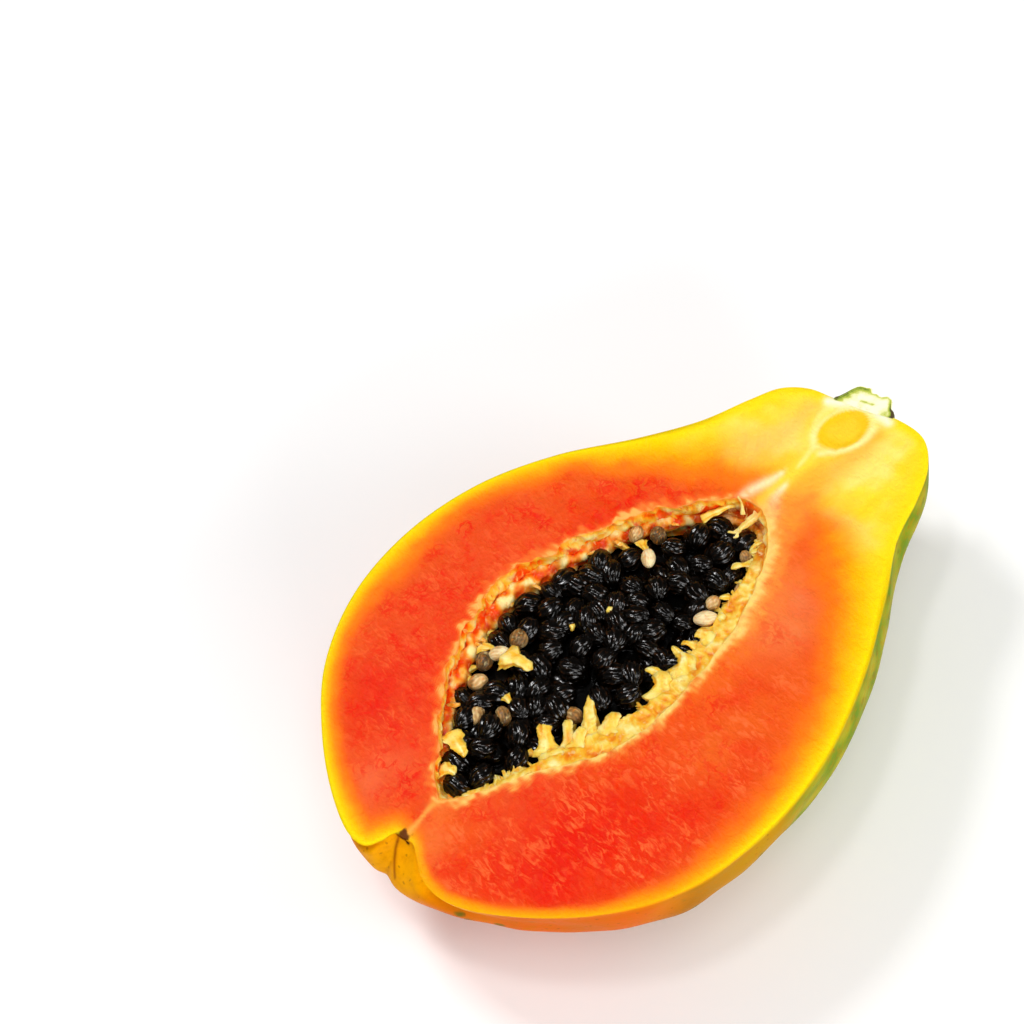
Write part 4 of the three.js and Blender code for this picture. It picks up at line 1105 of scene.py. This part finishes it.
class PAPAYA_OT_stage(Operator):
    """Adds the pale floor, soft studio light and the camera"""
    bl_idname = "papaya.stage"
    bl_label = "Add floor, light and camera"

    def execute(self, context):
        looks = context.scene.papaya
        scene = context.scene
        mesh = bpy.data.meshes.new("pale_floor")
        half = 3.0
        corners = [(-half, -half, 0), (half, -half, 0), (half, half, 0), (-half, half, 0)]
        mesh.from_pydata(corners, [], [(0, 1, 2, 3)])
        # Card, matt: it takes soft shadows and shows no grain.
        material, tree, shader, where = new_material("matt white studio card", {
            "Base Color": (*looks.floor_colour, 1.0), "Roughness": 0.9, "Emission Color": (1, 1, 1, 1)})
        # Far from the fruit the camera sees it fade to plain white.
        far = add(tree, "VectorMath", "Value", {0: where}, operation="LENGTH")
        far = add(tree, "MapRange", "Result", {
            "Value": far, "From Min": 0.4, "From Max": 1.5, "To Max": 0.8}, interpolation_type="SMOOTHSTEP")
        direct = add(tree, "LightPath", "Is Camera Ray")
        fade = add(tree, "Math", "Value", {0: far, 1: direct}, operation="MULTIPLY")
        tree.links.new(fade, shader["Emission Strength"])
        mesh.materials.append(material)
        floor = bpy.data.objects.new("pale_floor", mesh)
        context.collection.objects.link(floor)

        world = bpy.data.worlds.new("soft studio")
        world.use_nodes = True
        tree = world.node_tree
        sky = tree.nodes["Background"].inputs
        sky["Color"].default_value = (1, 1, 1, 1)
        # The camera sees plain white behind the floor, the fruit only a weak even light, weaker in its gloss.
        seen = add(tree, "LightPath", "Is Camera Ray")
        seen = add(tree, "Math", "Value", {0: seen, 1: 0.7, 2: 0.3}, operation="MULTIPLY_ADD")
        gloss = add(tree, "LightPath", "Is Glossy Ray")
        seen = add(tree, "Math", "Value", {0: gloss, 1: -0.24, 2: seen}, operation="MULTIPLY_ADD")
        tree.links.new(seen, sky["Strength"])
        scene.world = world
        scene.view_settings.view_transform = "Standard"

        # The camera looks down along the fruit's side, turned so that the stalk points to the upper right.
        right = Vector((0.7102, -0.7005, -0.0696))
        down = Vector((-0.6342, -0.5938, -0.4951))
        back = Vector((-0.3055, -0.3958, 0.8660))
        data = bpy.data.cameras.new("camera")
        data.lens, data.sensor_width = 85, 36
        data.clip_start, data.clip_end = 0.01, 20
        camera = bpy.data.objects.new("camera", data)
        context.collection.objects.link(camera)
        turn = Matrix((right, -down, back)).transposed().to_4x4()
        turn.translation = Vector((-171.6, -187.7, 550.9)) * MM
        camera.matrix_world = turn
        scene.camera = camera

        # Each light's name, direction, distance and size in metres, and power in watts.
        lights = [("window", -0.55 * right - 0.75 * down + 0.6 * back, 0.95, 0.2, 3.6),
                  ("fill", 0.9 * right - 0.1 * down + 0.5 * back, 1.2, 0.4, 4.1),
                  ("top", back - 0.3 * down, 1.3, 0.4, 2.7),
                  ("front", Vector((-0.35, -0.9, 0.4)), 1.1, 0.5, 5.0),
                  ("sparkle", back - 0.45 * down - 0.25 * right, 0.9, 0.09, 1.0)]
        for name, way, far, size, power in lights:
            lamp = bpy.data.lights.new(name, "AREA")
            lamp.shape, lamp.size, lamp.energy = "SQUARE", size, power
            holder = bpy.data.objects.new(name, lamp)
            context.collection.objects.link(holder)
            way = way.normalized()
            holder.rotation_mode = "QUATERNION"
            holder.location = way * far + Vector((0, 0, 0.04))
            holder.rotation_quaternion = (-way).to_track_quat("-Z", "Y")
        return {"FINISHED"}


class PAPAYA_PT_panel(Panel):
    """The papaya's pieces, sizes and colours"""
    bl_label = "Papaya half"
    bl_idname = "PAPAYA_PT_panel"
    bl_space_type = "VIEW_3D"
    bl_region_type = "UI"
    bl_category = "Papaya"

    def draw(self, context):
        for operator in OPERATORS:
            self.layout.operator(operator.bl_idname)
        for name in PapayaLooks.__annotations__:
            self.layout.prop(context.scene.papaya, name)


OPERATORS = (PAPAYA_OT_fruit, PAPAYA_OT_seeds, PAPAYA_OT_placenta, PAPAYA_OT_stalk, PAPAYA_OT_stage)
CLASSES = (PapayaLooks, *OPERATORS, PAPAYA_PT_panel)


def register():
    for item in CLASSES:
        bpy.utils.register_class(item)
    bpy.types.Scene.papaya = PointerProperty(type=PapayaLooks)


def unregister():
    del bpy.types.Scene.papaya
    for item in reversed(CLASSES):
        bpy.utils.unregister_class(item)


def main():
    register()
    bpy.ops.papaya.fruit()
    bpy.ops.papaya.seeds()
    bpy.ops.papaya.placenta()
    bpy.ops.papaya.stalk()
    bpy.ops.papaya.stage()
    bpy.context.view_layer.update()


if __name__ == "__main__":
    main()
